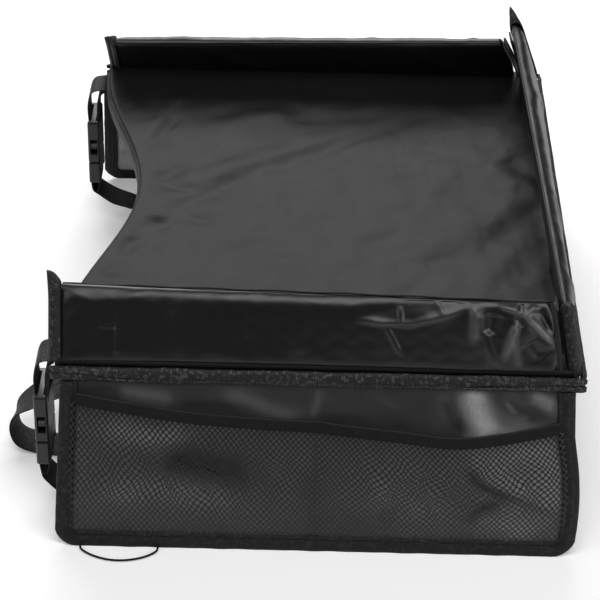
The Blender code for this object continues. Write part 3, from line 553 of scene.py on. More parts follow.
def makeLoopCord():
    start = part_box("elastic_loop")[1][1]
    z = loopCord["thick"] / 2 + loopCord["rise"]
    route = [(x + tray["centre"], start - out, z) for x, out in loopCord["route"]]
    line = curveThrough(route, loopCord["steps"])
    cord = curvePiece("elasticLoop", line)
    cord.data.bevel_depth, cord.data.bevel_resolution = loopCord["thick"] / 2, 3
    cord.data.use_fill_caps = True
    cord.data.materials.append(finishes["band"])
    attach(cord, "near_panel")
    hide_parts("elastic_loop")
    lengthOf(line)


makeLoopCord()
print("elastic loop made")

# The deck: a padded cover over the board, and the cloth pocket under it

def bellyEdge(y, inset=0.0):
    # A point on the child's edge at width y, moved inward along the edge's normal
    reach = y - tray["bellyMiddle"]
    x, slope = tray["centre"] - tray["length"] / 2, 0.0
    if abs(reach) < tray["bellyHalf"]:
        turn = pi * reach / tray["bellyHalf"]
        x += tray["bellyDepth"] * (1 + cos(turn)) / 2
        slope = -tray["bellyDepth"] * pi / tray["bellyHalf"] * sin(turn) / 2
    long = hypot(1, slope)
    return x + inset / long, y - inset * slope / long


deck = {"columns": 96, "rows": 80, "pad": 0.0046, "inset": 0.0002, "sink": 0.0004, "wave": 0.0008, "pitch": 0.16,
        "finePitch": 0.05, "fineShare": 0.25, "calm": 0.014, "fill": 0.5, "widen": 1.5, "deepen": 1.25,
        "under": {"columns": 60, "rows": 50, "thick": 0.0008, "lift": 0.0007, "sag": 0.0002, "draw": 0.0024,
                  "edge": 0.006, "area": 0.127},
        "creases": [  # line, width, height
            ([(-0.1, -0.048), (-0.0723, -0.006), (-0.0421, 0.0225), (-0.0222, 0.04), (0.0069, 0.0588),
              (0.0386, 0.0848), (0.0711, 0.1084), (0.0876, 0.1197)], 0.0060, -0.0013),
            ([(-0.108, -0.035), (-0.08, 0.008), (-0.049, 0.036), (-0.015, 0.06), (0.02, 0.085)],
             0.0100, 0.0012),
            ([(-0.0643, 0.1127), (-0.0383, 0.1306), (-0.0077, 0.137), (0.0034, 0.1186), (0.0235, 0.1158),
              (0.0630, 0.1234), (0.0846, 0.1196)], 0.0065, -0.0012),
            ([(-0.054, 0.098), (-0.03, 0.115), (-0.005, 0.118)], 0.008, 0.0009),
            ([(-0.0956, -0.0381), (-0.0805, -0.0283), (-0.0617, -0.029), (-0.0558, -0.0367)], 0.0045, -0.0013),
            ([(-0.0458, -0.0696), (-0.0102, -0.0621), (0.0076, -0.0678)], 0.006, -0.0008),
            ([(0.1782, -0.0127), (0.1504, -0.0373), (0.1288, -0.0598), (0.089, -0.0837)], 0.009, -0.0013),
            ([(0.173, 0.0032), (0.1377, -0.0455)], 0.007, -0.0012),
            ([(0.1517, 0.064), (0.1708, 0.0348)], 0.006, -0.0012),
            ([(0.1473, 0.0215), (0.164, 0.034), (0.176, 0)], 0.006, 0.001),
            ([(-0.1053, 0.0841), (-0.0991, 0.1191), (-0.0841, 0.1525)], 0.0045, 0.0011),
            ([(-0.1024, 0.0753), (-0.0884, 0.1164)], 0.004, -0.0011),
            ([(-0.0964, 0.0254), (-0.0769, 0.043)], 0.004, -0.001),
            ([(-0.0935, 0.0157), (-0.0683, 0.0097)], 0.004, -0.001),
            ([(-0.1031, -0.0225), (-0.0847, -0.0272), (-0.0654, -0.037)], 0.0045, 0.001),
            ([(-0.133, 0.1896), (-0.111, 0.1279)], 0.005, -0.001),
            ([(-0.1152, -0.072), (-0.1195, -0.1055)], 0.005, 0.0013),
            ([(-0.1047, -0.0526), (-0.1152, -0.087)], 0.004, -0.0011),
            ([(0.1447, -0.1037), (0.1696, -0.0469)], 0.008, -0.0012),
            ([(0.0237, 0.1628), (0.0634, 0.1707)], 0.006, 0.001),
            ([(-0.09, -0.12), (-0.03, -0.105), (0.04, -0.115)], 0.012, 0.0008),
            ([(0.05, -0.03), (0.09, 0.02), (0.12, 0.06)], 0.014, 0.0008)]}


def makeDeck():
    half = tray["width"] / 2 - deck["inset"]
    front = tray["centre"] + tray["length"] / 2 - deck["inset"]
    flat = (tray["width"], tray["length"])

    def place(u, v):
        x, y = bellyEdge(-half + 2 * half * u, deck["inset"])
        return (x + (front - x) * v, y, deckTop)

    cover = gridPiece("deckCover", deck["columns"], deck["rows"], place, flat, deck["pad"], -1, 1)
    at = readCorners(cover)
    x, y = at[:, 0], at[:, 1]
    top = at[:, 2] > deckTop - deck["pad"] / 2
    rear = np.array([bellyEdge(value)[0] for value in y])
    edge = np.minimum.reduce([x - rear, front - x, half - np.abs(y)]) / deck["calm"]
    calm = np.clip(edge, 0, 1)
    calm = calm * calm * (3 - 2 * calm)
    lift = ripple(x, y, 4, deck["pitch"]) * deck["wave"]
    lift += ripple(x, y, 9, deck["finePitch"]) * deck["wave"] * deck["fineShare"]
    for line, width, height in deck["creases"]:
        lift += crease(x, y, line, width * deck["widen"]) * height * deck["deepen"]
    at[:, 2] += np.where(top, (lift - deck["sink"]) * calm, 0)
    writeCorners(cover, at)
    dress(cover, finishes["deck"], "deck_fabric", "tray", "deck_top_cover")

    # The cloth pocket under the board, drawn up to the edges
    below = deck["under"]

    def placeUnder(u, v):
        x, y = bellyEdge(-half + 2 * half * u, deck["inset"])
        x = x + (front - x) * v
        near = min(u * 2 * half, (1 - u) * 2 * half, v * tray["length"], (1 - v) * tray["length"]) / below["edge"]
        sag = below["sag"] * sin(90 * x) * sin(70 * y + 1)
        return (x, y, deckBottom + below["lift"] + sag + below["draw"] * max(1 - near, 0) ** 2)

    under = gridPiece("deckUnder", below["columns"], below["rows"], placeUnder, flat, below["thick"], 0, 1)
    dress(under, finishes["under"], "deck_fabric", "tray", "deck_under_cover")


makeDeck()
print("deck made")

bellyTape = {"lip": 0.0092, "proud": 0.0009, "thick": 0.0007, "columns": 150, "around": 56, "endRoom": 0.0112,
             "flat": (0.39, 0.030), "pucker": 0.00022, "groove": 0.0006, "rows": (0.0024, 0.0074),
             "stitch": {"long": 0.0022, "thick": 0.0004, "pitch": 0.0032}}


def makeBellyBinding():
    half = tray["width"] / 2 - bellyTape["endRoom"]
    high, low, lip = deckTop + bellyTape["proud"], deckBottom - bellyTape["proud"], bellyTape["lip"]
    # Over the top with a groove for the inner seam, round the edge and back underneath
    outline = [(lip, high - 0.0003), (0.0072, high + 0.0001), (0.0056, high), (0.0049, high - 0.0005),
               (0.0042, high), (0.0022, high + 0.0001), (0.0004, high - 0.0001), (-0.0008, high - 0.0012),
               (-0.0012, high - 0.0035), (-0.0012, low + 0.0035), (-0.0008, low + 0.0012), (0.0008, low),
               (0.0045, low), (lip, low)]
    outline = evenly(curveThrough(outline, 6), bellyTape["around"] + 1)

    def place(u, v):
        y = -half + 2 * half * u
        inset, z = outline[int(round(v * bellyTape["around"]))]
        wobble = bellyTape["pucker"] * (sin(y / 0.0041) + 0.7 * sin(y / 0.0027 + 2))
        side = 1 if z > (high + low) / 2 else -1
        edge = abs(inset) / lip
        x, y = bellyEdge(y, inset + wobble * 1.2 * edge)
        return (x, y, z + side * wobble * (0.4 + 0.3 * edge))

    tape = gridPiece("bellyBinding", bellyTape["columns"], bellyTape["around"], place, bellyTape["flat"],
                     bellyTape["thick"], -1, 0)
    outward(tape)
    dress(tape, finishes["binding"], "webbing_tape", "tray", "belly_binding")

    # A near-black cord along the seam where the cover goes under the tape, as painted shade, and two rows of
    # stitches
    def along(inset, z, ends=0.0):
        return [(*bellyEdge(y, inset), z) for y in np.linspace(-half + ends, half - ends, 140)]

    seam = tubeAlong("bellySeamShade", along(lip + bellyTape["groove"], deckTop - 0.0001, 0.006), bellyTape["groove"])
    dress(seam, finishes["groove"], "webbing_tape", "tray")
    for k, inset in enumerate(bellyTape["rows"]):
        stitchRow("bellyStitches%d" % (k + 1), along(inset, high + 0.0003), bellyTape["stitch"], "tray")


makeBellyBinding()
print("belly binding made")

edgeTape = {"out": 0.0031, "columns": 168, "around": 24, "overrun": 0.0030, "over": 0.0006, "under": 0.0002,
            "ruffle": {"side": 0.00022, "front": 0.00018}, "curl": 0.0012, "curlLong": 0.012,
            "shares": {  # of the height that the upper lobe takes, along the tape
                       "side": [(0, 0.36), (0.05, 0.46), (0.12, 0.74), (0.20, 0.86), (0.74, 0.86), (0.86, 0.66),
                                (1, 0.44)],
                       "front": [(0, 0.5), (1, 0.5)]},
            "stitch": {"long": 0.0017, "thick": 0.00045, "pitch": 0.0034, "slant": 50}}


def makeEdgeBindings():
    high, low = deckTop + edgeTape["over"], deckBottom - edgeTape["under"]
    rear = tray["centre"] - tray["length"] / 2 - edgeTape["overrun"]
    front = tray["centre"] + tray["length"] / 2 + edgeTape["overrun"]
    section = [(0, -0.5), (0.55, -0.52), (0.92, -0.36), (1, 0), (0.92, 0.36), (0.55, 0.52), (0, 0.5), (0, 0),
               (0, -0.5)]
    section = evenly(curveThrough(section, 4), edgeTape["around"] + 1)

    def lobe(name, start, end, across, kind, up):
        shares = edgeTape["shares"][kind]
        length = (end - start).length

        def place(u, v):
            out, tall = section[int(round(v * edgeTape["around"]))]
            share = float(np.interp(u, *zip(*shares)))
            run = u * length
            waves = sin(run / 0.011 + up) + 0.6 * sin(run / 0.0063 + 2 * up) + 0.5 * sin(run / 0.0029 + up)
            ruffle = edgeTape["ruffle"][kind] * waves
            joint = high - (high - low) * share
            top, foot = (high, joint + 0.0001) if up > 0 else (joint - 0.0001, low)
            ends = min(run, length - run) / 0.005
            swell = 0.35 + 0.65 * min(ends, 1) ** 0.5
            spot = start + (end - start) * u + across * (
                0.0004 + out * (edgeTape["out"] - (0.0003 if up < 0 else 0)) * swell * (1 + 60 * ruffle))
            z = (top + foot) / 2 + tall * (top - foot) * (0.55 + 0.45 * swell) + ruffle
            # The far end of the tape curls a little outwards
            curl = max(1 - (length - run) / edgeTape["curlLong"], 0) ** 2 * edgeTape["curl"]
            return (spot.x + across.x * curl, spot.y + across.y * curl, z + up * curl * 0.4)
        return gridPiece(name, edgeTape["columns"], edgeTape["around"], place, (length, 0.012), smooth=0,
                         closed=True, capped=True)

    def pair(name, *ends):
        for label, up in (("Upper", 1), ("Lower", -1)):
            tape = lobe(name + "EdgeTape" + label, *map(Vector, ends), "front" if name == "front" else "side", up)
            dress(tape, finishes["edge"], "webbing_tape", "tray", *([name + "_edge_binding"] if up > 0 else []))

    half = tray["width"] / 2
    for name, side in sides.items():
        pair(name, (rear, side * half, 0), (front, side * half, 0), (0, side, 0))
        face = side * (half + edgeTape["out"] + 0.0002)
        rise = high - low
        line = [(x, face, low + rise * 0.20 + 0.00018 * sin(x / 0.004))
                for x in np.linspace(rear + 0.05, front - 0.02, 120)]
        stitchRow(name + "EdgeStitches", line, edgeTape["stitch"], "tray", upright=True)
    x = tray["centre"] + tray["length"] / 2
    pair("front", (x, -half, 0), (x, half, 0), (1, 0, 0))


makeEdgeBindings()
print("edge bindings made")

# The three padded walls

walls = {"thick": 0.0096, "height": 0.0465, "sideLong": 0.320, "short": 0.0045, "capped": 0.0030, "skin": 0.0006,
         "hinge": 0.005, "around": 36, "along": 0.0042, "drawnIn": 0.012, "pressure": 2.5, "swell": 0.0010,
         "slack": 0.02, "still": 0.02, "fill": 0.55, "wave": 0.00035, "deepen": 1.35,
         "piping": {"thick": 0.0007, "across": 0.45, "below": 0.0014, "wobble": 0.00025}}
rolls = {"near": 1.0, "far": 0.30, "front": 0.55}
leans = {"near": (22, 3), "far": (40, 31), "front": (10, 20)}
backs = {"near": 0.0045}  # how far the wall's rear end stands out past the deck's edge
axisHeight = deckTop + 0.0003 + walls["hinge"]
frontAxis = tray["centre"] + tray["length"] / 2 - walls["hinge"]
sideAxis = tray["width"] / 2 - walls["hinge"]


def leanAt(which, share):
    return np.radians(leans[which][0] + (leans[which][1] - leans[which][0]) * share)


def wallPoint(which, share, t, h, short=0.0):
    # share along the wall, t through it towards the deck, h up from its hinge line
    if which == "front":
        y = -tray["width"] / 2 + share * tray["width"]
        lean = leanAt(which, share)
        return (frontAxis - h * sin(lean) - t * cos(lean), y, axisHeight + h * cos(lean) - t * sin(lean))
    side = sides[which]
    lean = leanAt(which, share)
    rise = h * cos(lean) - t * sin(lean)
    frontLean = leanAt("front", 0 if side < 0 else 1)
    face = frontAxis - hypot(h, t) * tan(frontLean) - walls["hinge"] / cos(frontLean) - short
    rear = tray["centre"] - tray["length"] / 2
    return (rear + (face - rear) * share, side * (sideAxis - h * sin(lean) - t * cos(lean)), axisHeight + rise)


def wallSection(count, half, top, roll):
    # Round at the foot; the outer face rolls over the top to a seam on the deck's side, roll says how deep
    foot = [(half * across, -half * down)
            for across, down in ((-1, 0.55), (-0.82, 0.92), (0, 1), (0.82, 0.92), (1, 0))]
    inner = [(half, top * 0.3), (half, top * 0.6), (half, top - 0.0050), (half * 0.93, top - 0.0018),
             (half * 0.70, top)]
    drops = ((0.30, 0.0001), (-0.12, 0.0012), (-0.50, 0.0036), (-0.80, 0.0072), (-0.96, 0.0115))
    crown = [(half * across, top - drop * roll) for across, drop in drops]
    outer = [(-half, top * 0.6), (-half, top * 0.3), (-half, 0)]
    return evenly(np.array(foot + inner + crown + outer), count)


wallCreases = {  # face: 1 is the side away from the deck, -1 the side over it
    "near": [
        (1, [(-0.1182, 0.0213), (-0.1119, 0.0202), (-0.1063, 0.0204)], 0.0016, -0.0004),
        (1, [(-0.105, 0.0262), (-0.1051, 0.0146), (-0.1058, 0.0016)], 0.0016, 0.0005),
        (1, [(0.0437, 0.0308), (0.0585, 0.0298), (0.0771, 0.03), (0.1093, 0.04)], 0.0022, 0.0012),
        (1, [(0.0437, 0.0345), (0.07, 0.0395), (0.1093, 0.042)], 0.004, -0.001),
        (1, [(0.0611, 0.028), (0.0709, 0.0085)], 0.0018, 0.0009),
        (1, [(0.0694, 0.0399), (0.0703, 0.0298)], 0.0018, 0.0008),
        (1, [(0.0913, 0.044), (0.0966, 0.0364)], 0.0018, 0.0008),
        (1, [(0.1149, 0.042), (0.1162, 0.02)], 0.003, 0.0016),
        (1, [(0.119, 0.038), (0.1225, 0.025), (0.1314, -0.001)], 0.003, 0.001),
        (1, [(0.1422, 0.0342), (0.138, 0.0206), (0.1356, 0.0085)], 0.0026, 0.002),
        (1, [(0.1393, 0.025), (0.1445, 0)], 0.0024, 0.0013),
        (1, [(0.1446, 0.04), (0.153, 0.033), (0.159, 0.026), (0.1655, 0.019)], 0.0032, 0.0028),
        (1, [(0.144, 0.04), (0.13, 0.044)], 0.002, 0.0016),
        (1, [(0.143, 0.04), (0.1452, 0.046)], 0.0014, -0.0014),
        (1, [(0.146, 0.0395), (0.149, 0.0455)], 0.0014, -0.0012),
        (1, [(0.145, 0.04), (0.1544, 0.044)], 0.002, 0.0014),
        (1, [(0.1606, 0.043), (0.166, 0.03), (0.1706, 0.0206), (0.172, 0.0119)], 0.0016, 0.002),
        (1, [(0.164, 0.044), (0.169, 0.033), (0.173, 0.025)], 0.0013, 0.0016),
        (1, [(0.144, 0.037), (0.144, 0.03)], 0.004, -0.0018),
        (1, [(0.15, 0.02), (0.16, 0.008)], 0.006, -0.0022),
        (1, [(0.128, 0.038), (0.125, 0.024)], 0.0055, -0.0022),
        (1, [(0.169, 0.015), (0.168, 0.002)], 0.0022, 0.0016),
        (1, [(0.156, 0.04), (0.162, 0.03)], 0.0014, -0.0012),
        (1, [(-0.14, 0.042), (-0.12, 0.036), (-0.09, 0.039)], 0.0035, 0.0006),
        (1, [(-0.07, 0.033), (-0.066, 0.006)], 0.005, 0.0006),
        (1, [(-0.03, 0.035), (-0.026, 0.005)], 0.005, -0.0006),
        (1, [(0.01, 0.033), (0.006, 0.006)], 0.005, 0.0006)],
    "far": [
        (-1, [(-0.07, 0.04), (-0.03, 0.012)], 0.006, 0.0012),
        (-1, [(0.02, 0.042), (0.03, 0.01)], 0.0045, -0.0012),
        (-1, [(0.09, 0.038), (0.12, 0.008)], 0.006, 0.0013),
        (1, [(-0.09, 0.035), (-0.07, 0.005)], 0.004, 0.0012),
        (1, [(0.13, 0.042), (0.142, 0.03), (0.156, 0.02)], 0.003, 0.0016),
        (1, [(0.05, 0.04), (0.09, 0.015)], 0.005, 0.0013)],
    "front": [
        (-1, [(-0.14, 0.04), (-0.11, 0.008)], 0.006, 0.0012),
        (-1, [(0.01, 0.042), (0.03, 0.01)], 0.005, -0.0012),
        (-1, [(0.11, 0.04), (0.09, 0.008)], 0.006, 0.0013),
        (1, [(-0.16, 0.04), (-0.13, 0.005)], 0.005, 0.0014),
        (1, [(-0.05, 0.038), (-0.045, 0.008)], 0.004, 0.001),
        (1, [(0.08, 0.042), (0.12, 0.02), (0.13, 0.003)], 0.005, 0.0013)]}

clothwork = {"frames": 20, "quality": 5, "mass": 0.15, "stiff": 12, "bend": 0.15}


def puff(piece, axis):
    # Blows the cloth up a little with Blender's own cloth, and keeps each point within the swell of where it was
    start = readCorners(piece)
    cloth = piece.modifiers.new("cloth", "CLOTH")
    settings = cloth.settings
    settings.quality, settings.mass = clothwork["quality"], clothwork["mass"]
    settings.tension_stiffness = settings.compression_stiffness = settings.shear_stiffness = clothwork["stiff"]
    settings.bending_stiffness = clothwork["bend"]
    settings.use_pressure, settings.uniform_pressure_force = True, walls["pressure"]
    settings.shrink_min = -walls["slack"]
    settings.effector_weights.gravity = 0
    cloth.point_cache.frame_start, cloth.point_cache.frame_end = 1, clothwork["frames"]
    scene = bpy.context.scene
    for step in range(1, clothwork["frames"] + 1):
        scene.frame_set(step)
        bpy.context.view_layer.update()
    seen = piece.evaluated_get(bpy.context.evaluated_depsgraph_get())
    blown = np.empty(len(seen.data.vertices) * 3)
    seen.data.vertices.foreach_get("co", blown)
    piece.modifiers.clear()
    scene.frame_set(1)
    move = blown.reshape(-1, 3) - start
    move -= move.mean(axis=0)
    size = np.linalg.norm(move, axis=1, keepdims=True)
    run = start[:, axis]
    ends = np.clip(np.minimum(run - run.min(), run.max() - run) / walls["still"], 0, 1)
    move *= np.minimum(1, walls["swell"] / np.maximum(size, 1e-9)) * ends[:, None]
    writeCorners(piece, start + move)


def makeWall(which):
    count = walls["around"]
    front = which == "front"
    capped = {"near": (1, 0), "far": (1, 0), "front": (1, 1)}[which]
    long = tray["width"] if front else walls["sideLong"]
    inFromEnd = walls["capped"] / long
    back = backs.get(which, 0) / long
    short = 0.0 if front else walls["short"]
    section = wallSection(count + 1, walls["thick"] / 2 - walls["skin"], walls["height"] - walls["skin"],
                          rolls[which])
    axis = 1 if front else 0

    def place(u, v):
        t, h = section[int(round(v * count)) % count]
        begin = inFromEnd * capped[0] - back
        share = begin + u * (1 - inFromEnd * capped[1] - begin)
        # The ends that tape binds are drawn in
        ends = min(u * long if capped[0] else 1, (1 - u) * long if capped[1] else 1)
        t *= 0.35 + 0.65 * min(ends / walls["drawnIn"], 1) ** 0.6
        return wallPoint(which, share, t, h, short * u)

    wall = gridPiece(which + "Wall", int(long / walls["along"]), count, place, (long, 0.115), smooth=0,
                     closed=True, capped=True)
    puff(wall, axis)
    rounder = wall.modifiers.new("smooth", "SUBSURF")
    rounder.levels = rounder.render_levels = 2
    harden(wall)
    at = readCorners(wall)
    along = at[:, axis]
    # Height up the wall and side of it, found from the lean at each place
    if front:
        lean = leanAt(which, (along + tray["width"] / 2) / tray["width"])
        dx, dz = frontAxis - at[:, 0], at[:, 2] - axisHeight
        outwards = np.stack([np.cos(lean), 0 * lean, np.sin(lean)], -1)
    else:
        side = sides[which]
        lean = leanAt(which, (along - tray["centre"] + tray["length"] / 2) / long)
        dx, dz = sideAxis - side * at[:, 1], at[:, 2] - axisHeight
        outwards = np.stack([0 * lean, side * np.cos(lean), np.sin(lean)], -1)
    h = dx * np.sin(lean) + dz * np.cos(lean)
    t = dx * np.cos(lean) - dz * np.sin(lean)
    face = np.clip(-t / 0.003, -1, 1)
    crown = np.clip((h - 0.036) / 0.006, 0, 1)
    calm = np.clip((h + 0.001) / 0.006, 0, 1) * (1 - 0.7 * crown * (t > -0.001))
    lift, wearAndPaintedLight = ripple(along, h, 3 + len(which), 0.07) * walls["wave"] * face, 0
    for where, line, width, height in wallCreases[which]:
        facing = np.clip(face * where, 0, 1) if where < 0 else np.clip(face + crown, 0, 1)
        lift += crease(along, h, line, width) * height * walls["deepen"] * facing * where
        # Painted highlight: on the near wall a pale band runs along each raised crease, stronger for higher
        # creases
        if height > 0.001 and which == "near":
            wearAndPaintedLight = wearAndPaintedLight + crease(along, h + width * 0.35, line, width * 0.8) * (height - 0.0007) / 0.0021 * facing
    writeCorners(wall, at + outwards * (lift * calm)[:, None])
    fade(wall, wearAndPaintedLight * calm)
    dress(wall, finishes["frontWall" if front else "sideWall"], "wall_fabric", which + "_wall",
          which + "_wall_cover", which + "_wall_core")

    # The piped seam along the top, on the deck's side
    piping = walls["piping"]
    bound = (endTape["deep"] + 0.001) / long
    line = []
    for share in np.linspace(bound * capped[0] - back, 1 - bound * capped[1], 90):
        high = walls["height"] - piping["below"] + piping["wobble"] * sin(share * long / 0.007)
        line.append(wallPoint(which, share, walls["thick"] / 2 * piping["across"], high, short * share))
    tube = tubeAlong(which + "WallPiping", line, piping["thick"])
    dress(tube, finishes["piping"], "wall_fabric", which + "_wall")


endTape = {"deep": 0.0085, "thick": 0.0102, "cloth": 0.0007, "steps": 14, "around": 40, "groove": 0.22,
           "earFrom": 0.030, "earHigh": 0.017}
endCaps = [("near", 0, "nearWallEndTape", "near_wall_end_binding", 0.0075),
           ("far", 0, "farWallEndTape", "far_wall_end_binding", 0.0040),
           ("front", 0, "frontWallNearTape", "front_wall_near_binding", 0.0030),
           ("front", 1, "frontWallFarTape", "front_wall_far_binding", 0.0110)]


def capSection(count, half, top):
    # The wall's outline, the same on both sides of the middle, from the foot up and back
    side = [(0, -half), (half * 0.7, -half * 0.7), (half, 0), (half, top * 0.5), (half, top - 0.0060),
            (half * 0.72, top - 0.0016), (half * 0.3, top - 0.0001), (0, top)]
    right = evenly(np.array(side), count // 2 + 1)
    return np.concatenate([right, [(-t, h) for t, h in right[-2::-1]]])


def makeEndCap(which, end, name, replaced, ear):
    # Tape folded flat over the wall's end; its top runs up into a pointed ear
    count = endTape["around"]
    long = tray["width"] if which == "front" else walls["sideLong"]
    section = capSection(count, endTape["thick"] / 2, walls["height"] + walls["skin"])

    def place(u, v):
        t, h = section[int(round(v * count))]
        into = (endTape["deep"] * (1 - u) - (backs.get(which, 0) if end == 0 else 0)) / long
        flatten = max(1 - u ** 2.2, 0) ** 0.5 * (1 - endTape["groove"] * np.exp(-((u - 0.52) / 0.10) ** 2))
        top = max((h - endTape["earFrom"]) / endTape["earHigh"], 0)
        share = into + 0.0002 / long - (ear * 0.16 * top ** 3 * u) / long
        h += ear * top ** 3 * (1 - (1 - u) ** 2.5) * (1 - min(abs(t) / 0.006, 1) * 0.3)
        ruffle = 0.00030 * sin(h / 0.0021) * u * (1 - u)
        return wallPoint(which, share if end == 0 else 1 - share, t * flatten + ruffle, h)

    cap = gridPiece(name, endTape["steps"], count, place, (0.011, 0.11), endTape["cloth"], -1, 1, closed=True,
                    turned=True)
    dress(cap, finishes["cap"], "webbing_tape", which + "_wall", replaced)


for which in ("near", "far", "front"):
    makeWall(which)
    print(which, "wall made")
for cap in endCaps:
    makeEndCap(*cap)
print("wall ends bound")

# The side panels with their tape, net pockets and elastic bands

panel = {"hingeY": 0.2018, "length": 0.1100, "top": 0.3190, "bottom": 0.3290, "corner": 0.012, "splay": 15,
         "cloth": 0.0009, "head": 0.0030, "tape": 0.0088, "fold": 0.0014, "gap": 0.0003, "farShift": -0.0095,
         "bow": 0.0034, "wave": 0.0009, "pitch": 0.08, "wearAndPaintedLight": 0.65, "paintedLightBehindNet": 0.36, "dent": 0.0024,
         "rise": 0.0040, "netRoom": 0.0030, "flat": (0.329, 0.1130)}
hingeZ = deckBottom - 0.0018
mouthShares = [(-1, 0.08), (-0.75, 0.13), (-0.48, 0.18), (-0.03, 0.225), (0.32, 0.265), (0.6, 0.295), (1, 0.195)]
mouthCurve = curveThrough(mouthShares, 8)


def panelHalf(d, inset=0.0):
    half = (panel["top"] + (panel["bottom"] - panel["top"]) * max(d, 0) / panel["length"]) / 2 - inset
    into, radius = d - (panel["length"] - panel["corner"]), panel["corner"] - inset
    if into > 0:
        half -= radius - sqrt(max(radius ** 2 - into ** 2, 0))
    return half


def panelPoint(side, x, d, out):
    # x from the tray's middle, d down from the hinge line and out from the cloth's middle
    splay = radians(panel["splay"])
    # The front edge bows out, and the far panel hangs a little further back
    bow = panel["bow"] * sin(pi * min(max((d - 0.030) / 0.078, 0), 1)) * min(max((x - 0.09) / 0.06, 0), 1)
    shift = panel["farShift"] if side > 0 else 0
    return (x + bow + shift + tray["centre"], side * (panel["hingeY"] + d * sin(splay) + out * cos(splay)),
            max(hingeZ - d * cos(splay) + out * sin(splay), 0.0001))


def mouthDepth(x):
    return panel["length"] * float(np.interp(2 * x / panel["top"], mouthCurve[:, 0], mouthCurve[:, 1]))


pocket = {"bulge": 0.0058, "strand": 0.00036, "cell": (0.0034, 0.0038), "thick": 0.0003, "bandHigh": 0.0080,
          "bandThick": 0.0012, "divider": 0.25, "off": 0.0007, "netWide": 0.30, "netHigh": 0.075,
          "slip": 0.0026, "sag": 0.0022, "slack": 0.0009}

panelCreases = [  # line over x from the middle and depth, width, height outwards
    ([(0.0015, 0), (-0.0033, 0.02)], 0.0022, 0.0012),
    ([(0.0945, -0.001), (0.101, 0.015), (0.108, 0.033)], 0.008, 0.004),
    ([(0.116, 0), (0.126, 0.011), (0.14, 0.016)], 0.004, -0.0026),
    ([(0.134, 0.001), (0.148, 0.009)], 0.004, 0.0022),
    ([(0.078, 0.004), (0.09, 0.03)], 0.005, -0.002),
    ([(-0.125, 0.005), (-0.09, 0.011)], 0.005, 0.0016),
    ([(-0.06, 0.003), (-0.03, 0.016), (-0.01, 0.022)], 0.006, 0.0014),
    ([(0.03, 0.004), (0.05, 0.018)], 0.006, -0.0012),
    ([(0.096, 0.052), (0.104, 0.064), (0.118, 0.07), (0.133, 0.075), (0.15, 0.082)], 0.003, -0.003),
    ([(0.096, 0.09), (0.106, 0.08), (0.118, 0.076)], 0.003, -0.0022),
    ([(0.108, 0.04), (0.128, 0.05), (0.15, 0.056)], 0.012, 0.0044),
    ([(0.124, 0.062), (0.138, 0.068), (0.15, 0.072)], 0.008, 0.0036),
    ([(-0.135, 0.03), (-0.1, 0.036), (-0.08, 0.03)], 0.008, 0.0026),
    ([(-0.14, 0.078), (-0.1, 0.07), (-0.05, 0.08)], 0.009, 0.002),
    ([(-0.1, 0.05), (-0.04, 0.06)], 0.012, -0.0016),
    ([(0.03, 0.07), (0.09, 0.084)], 0.012, 0.0016)]

panelPaintedHighlights = [  # x, depth, half width, half height, strength of the painted highlight
    (0.128, 0.046, 0.026, 0.020, 0.95), (0.146, 0.062, 0.016, 0.016, 0.9), (0.128, 0.093, 0.028, 0.011, 0.65),
    (0.060, 0.050, 0.020, 0.016, 0.12)]


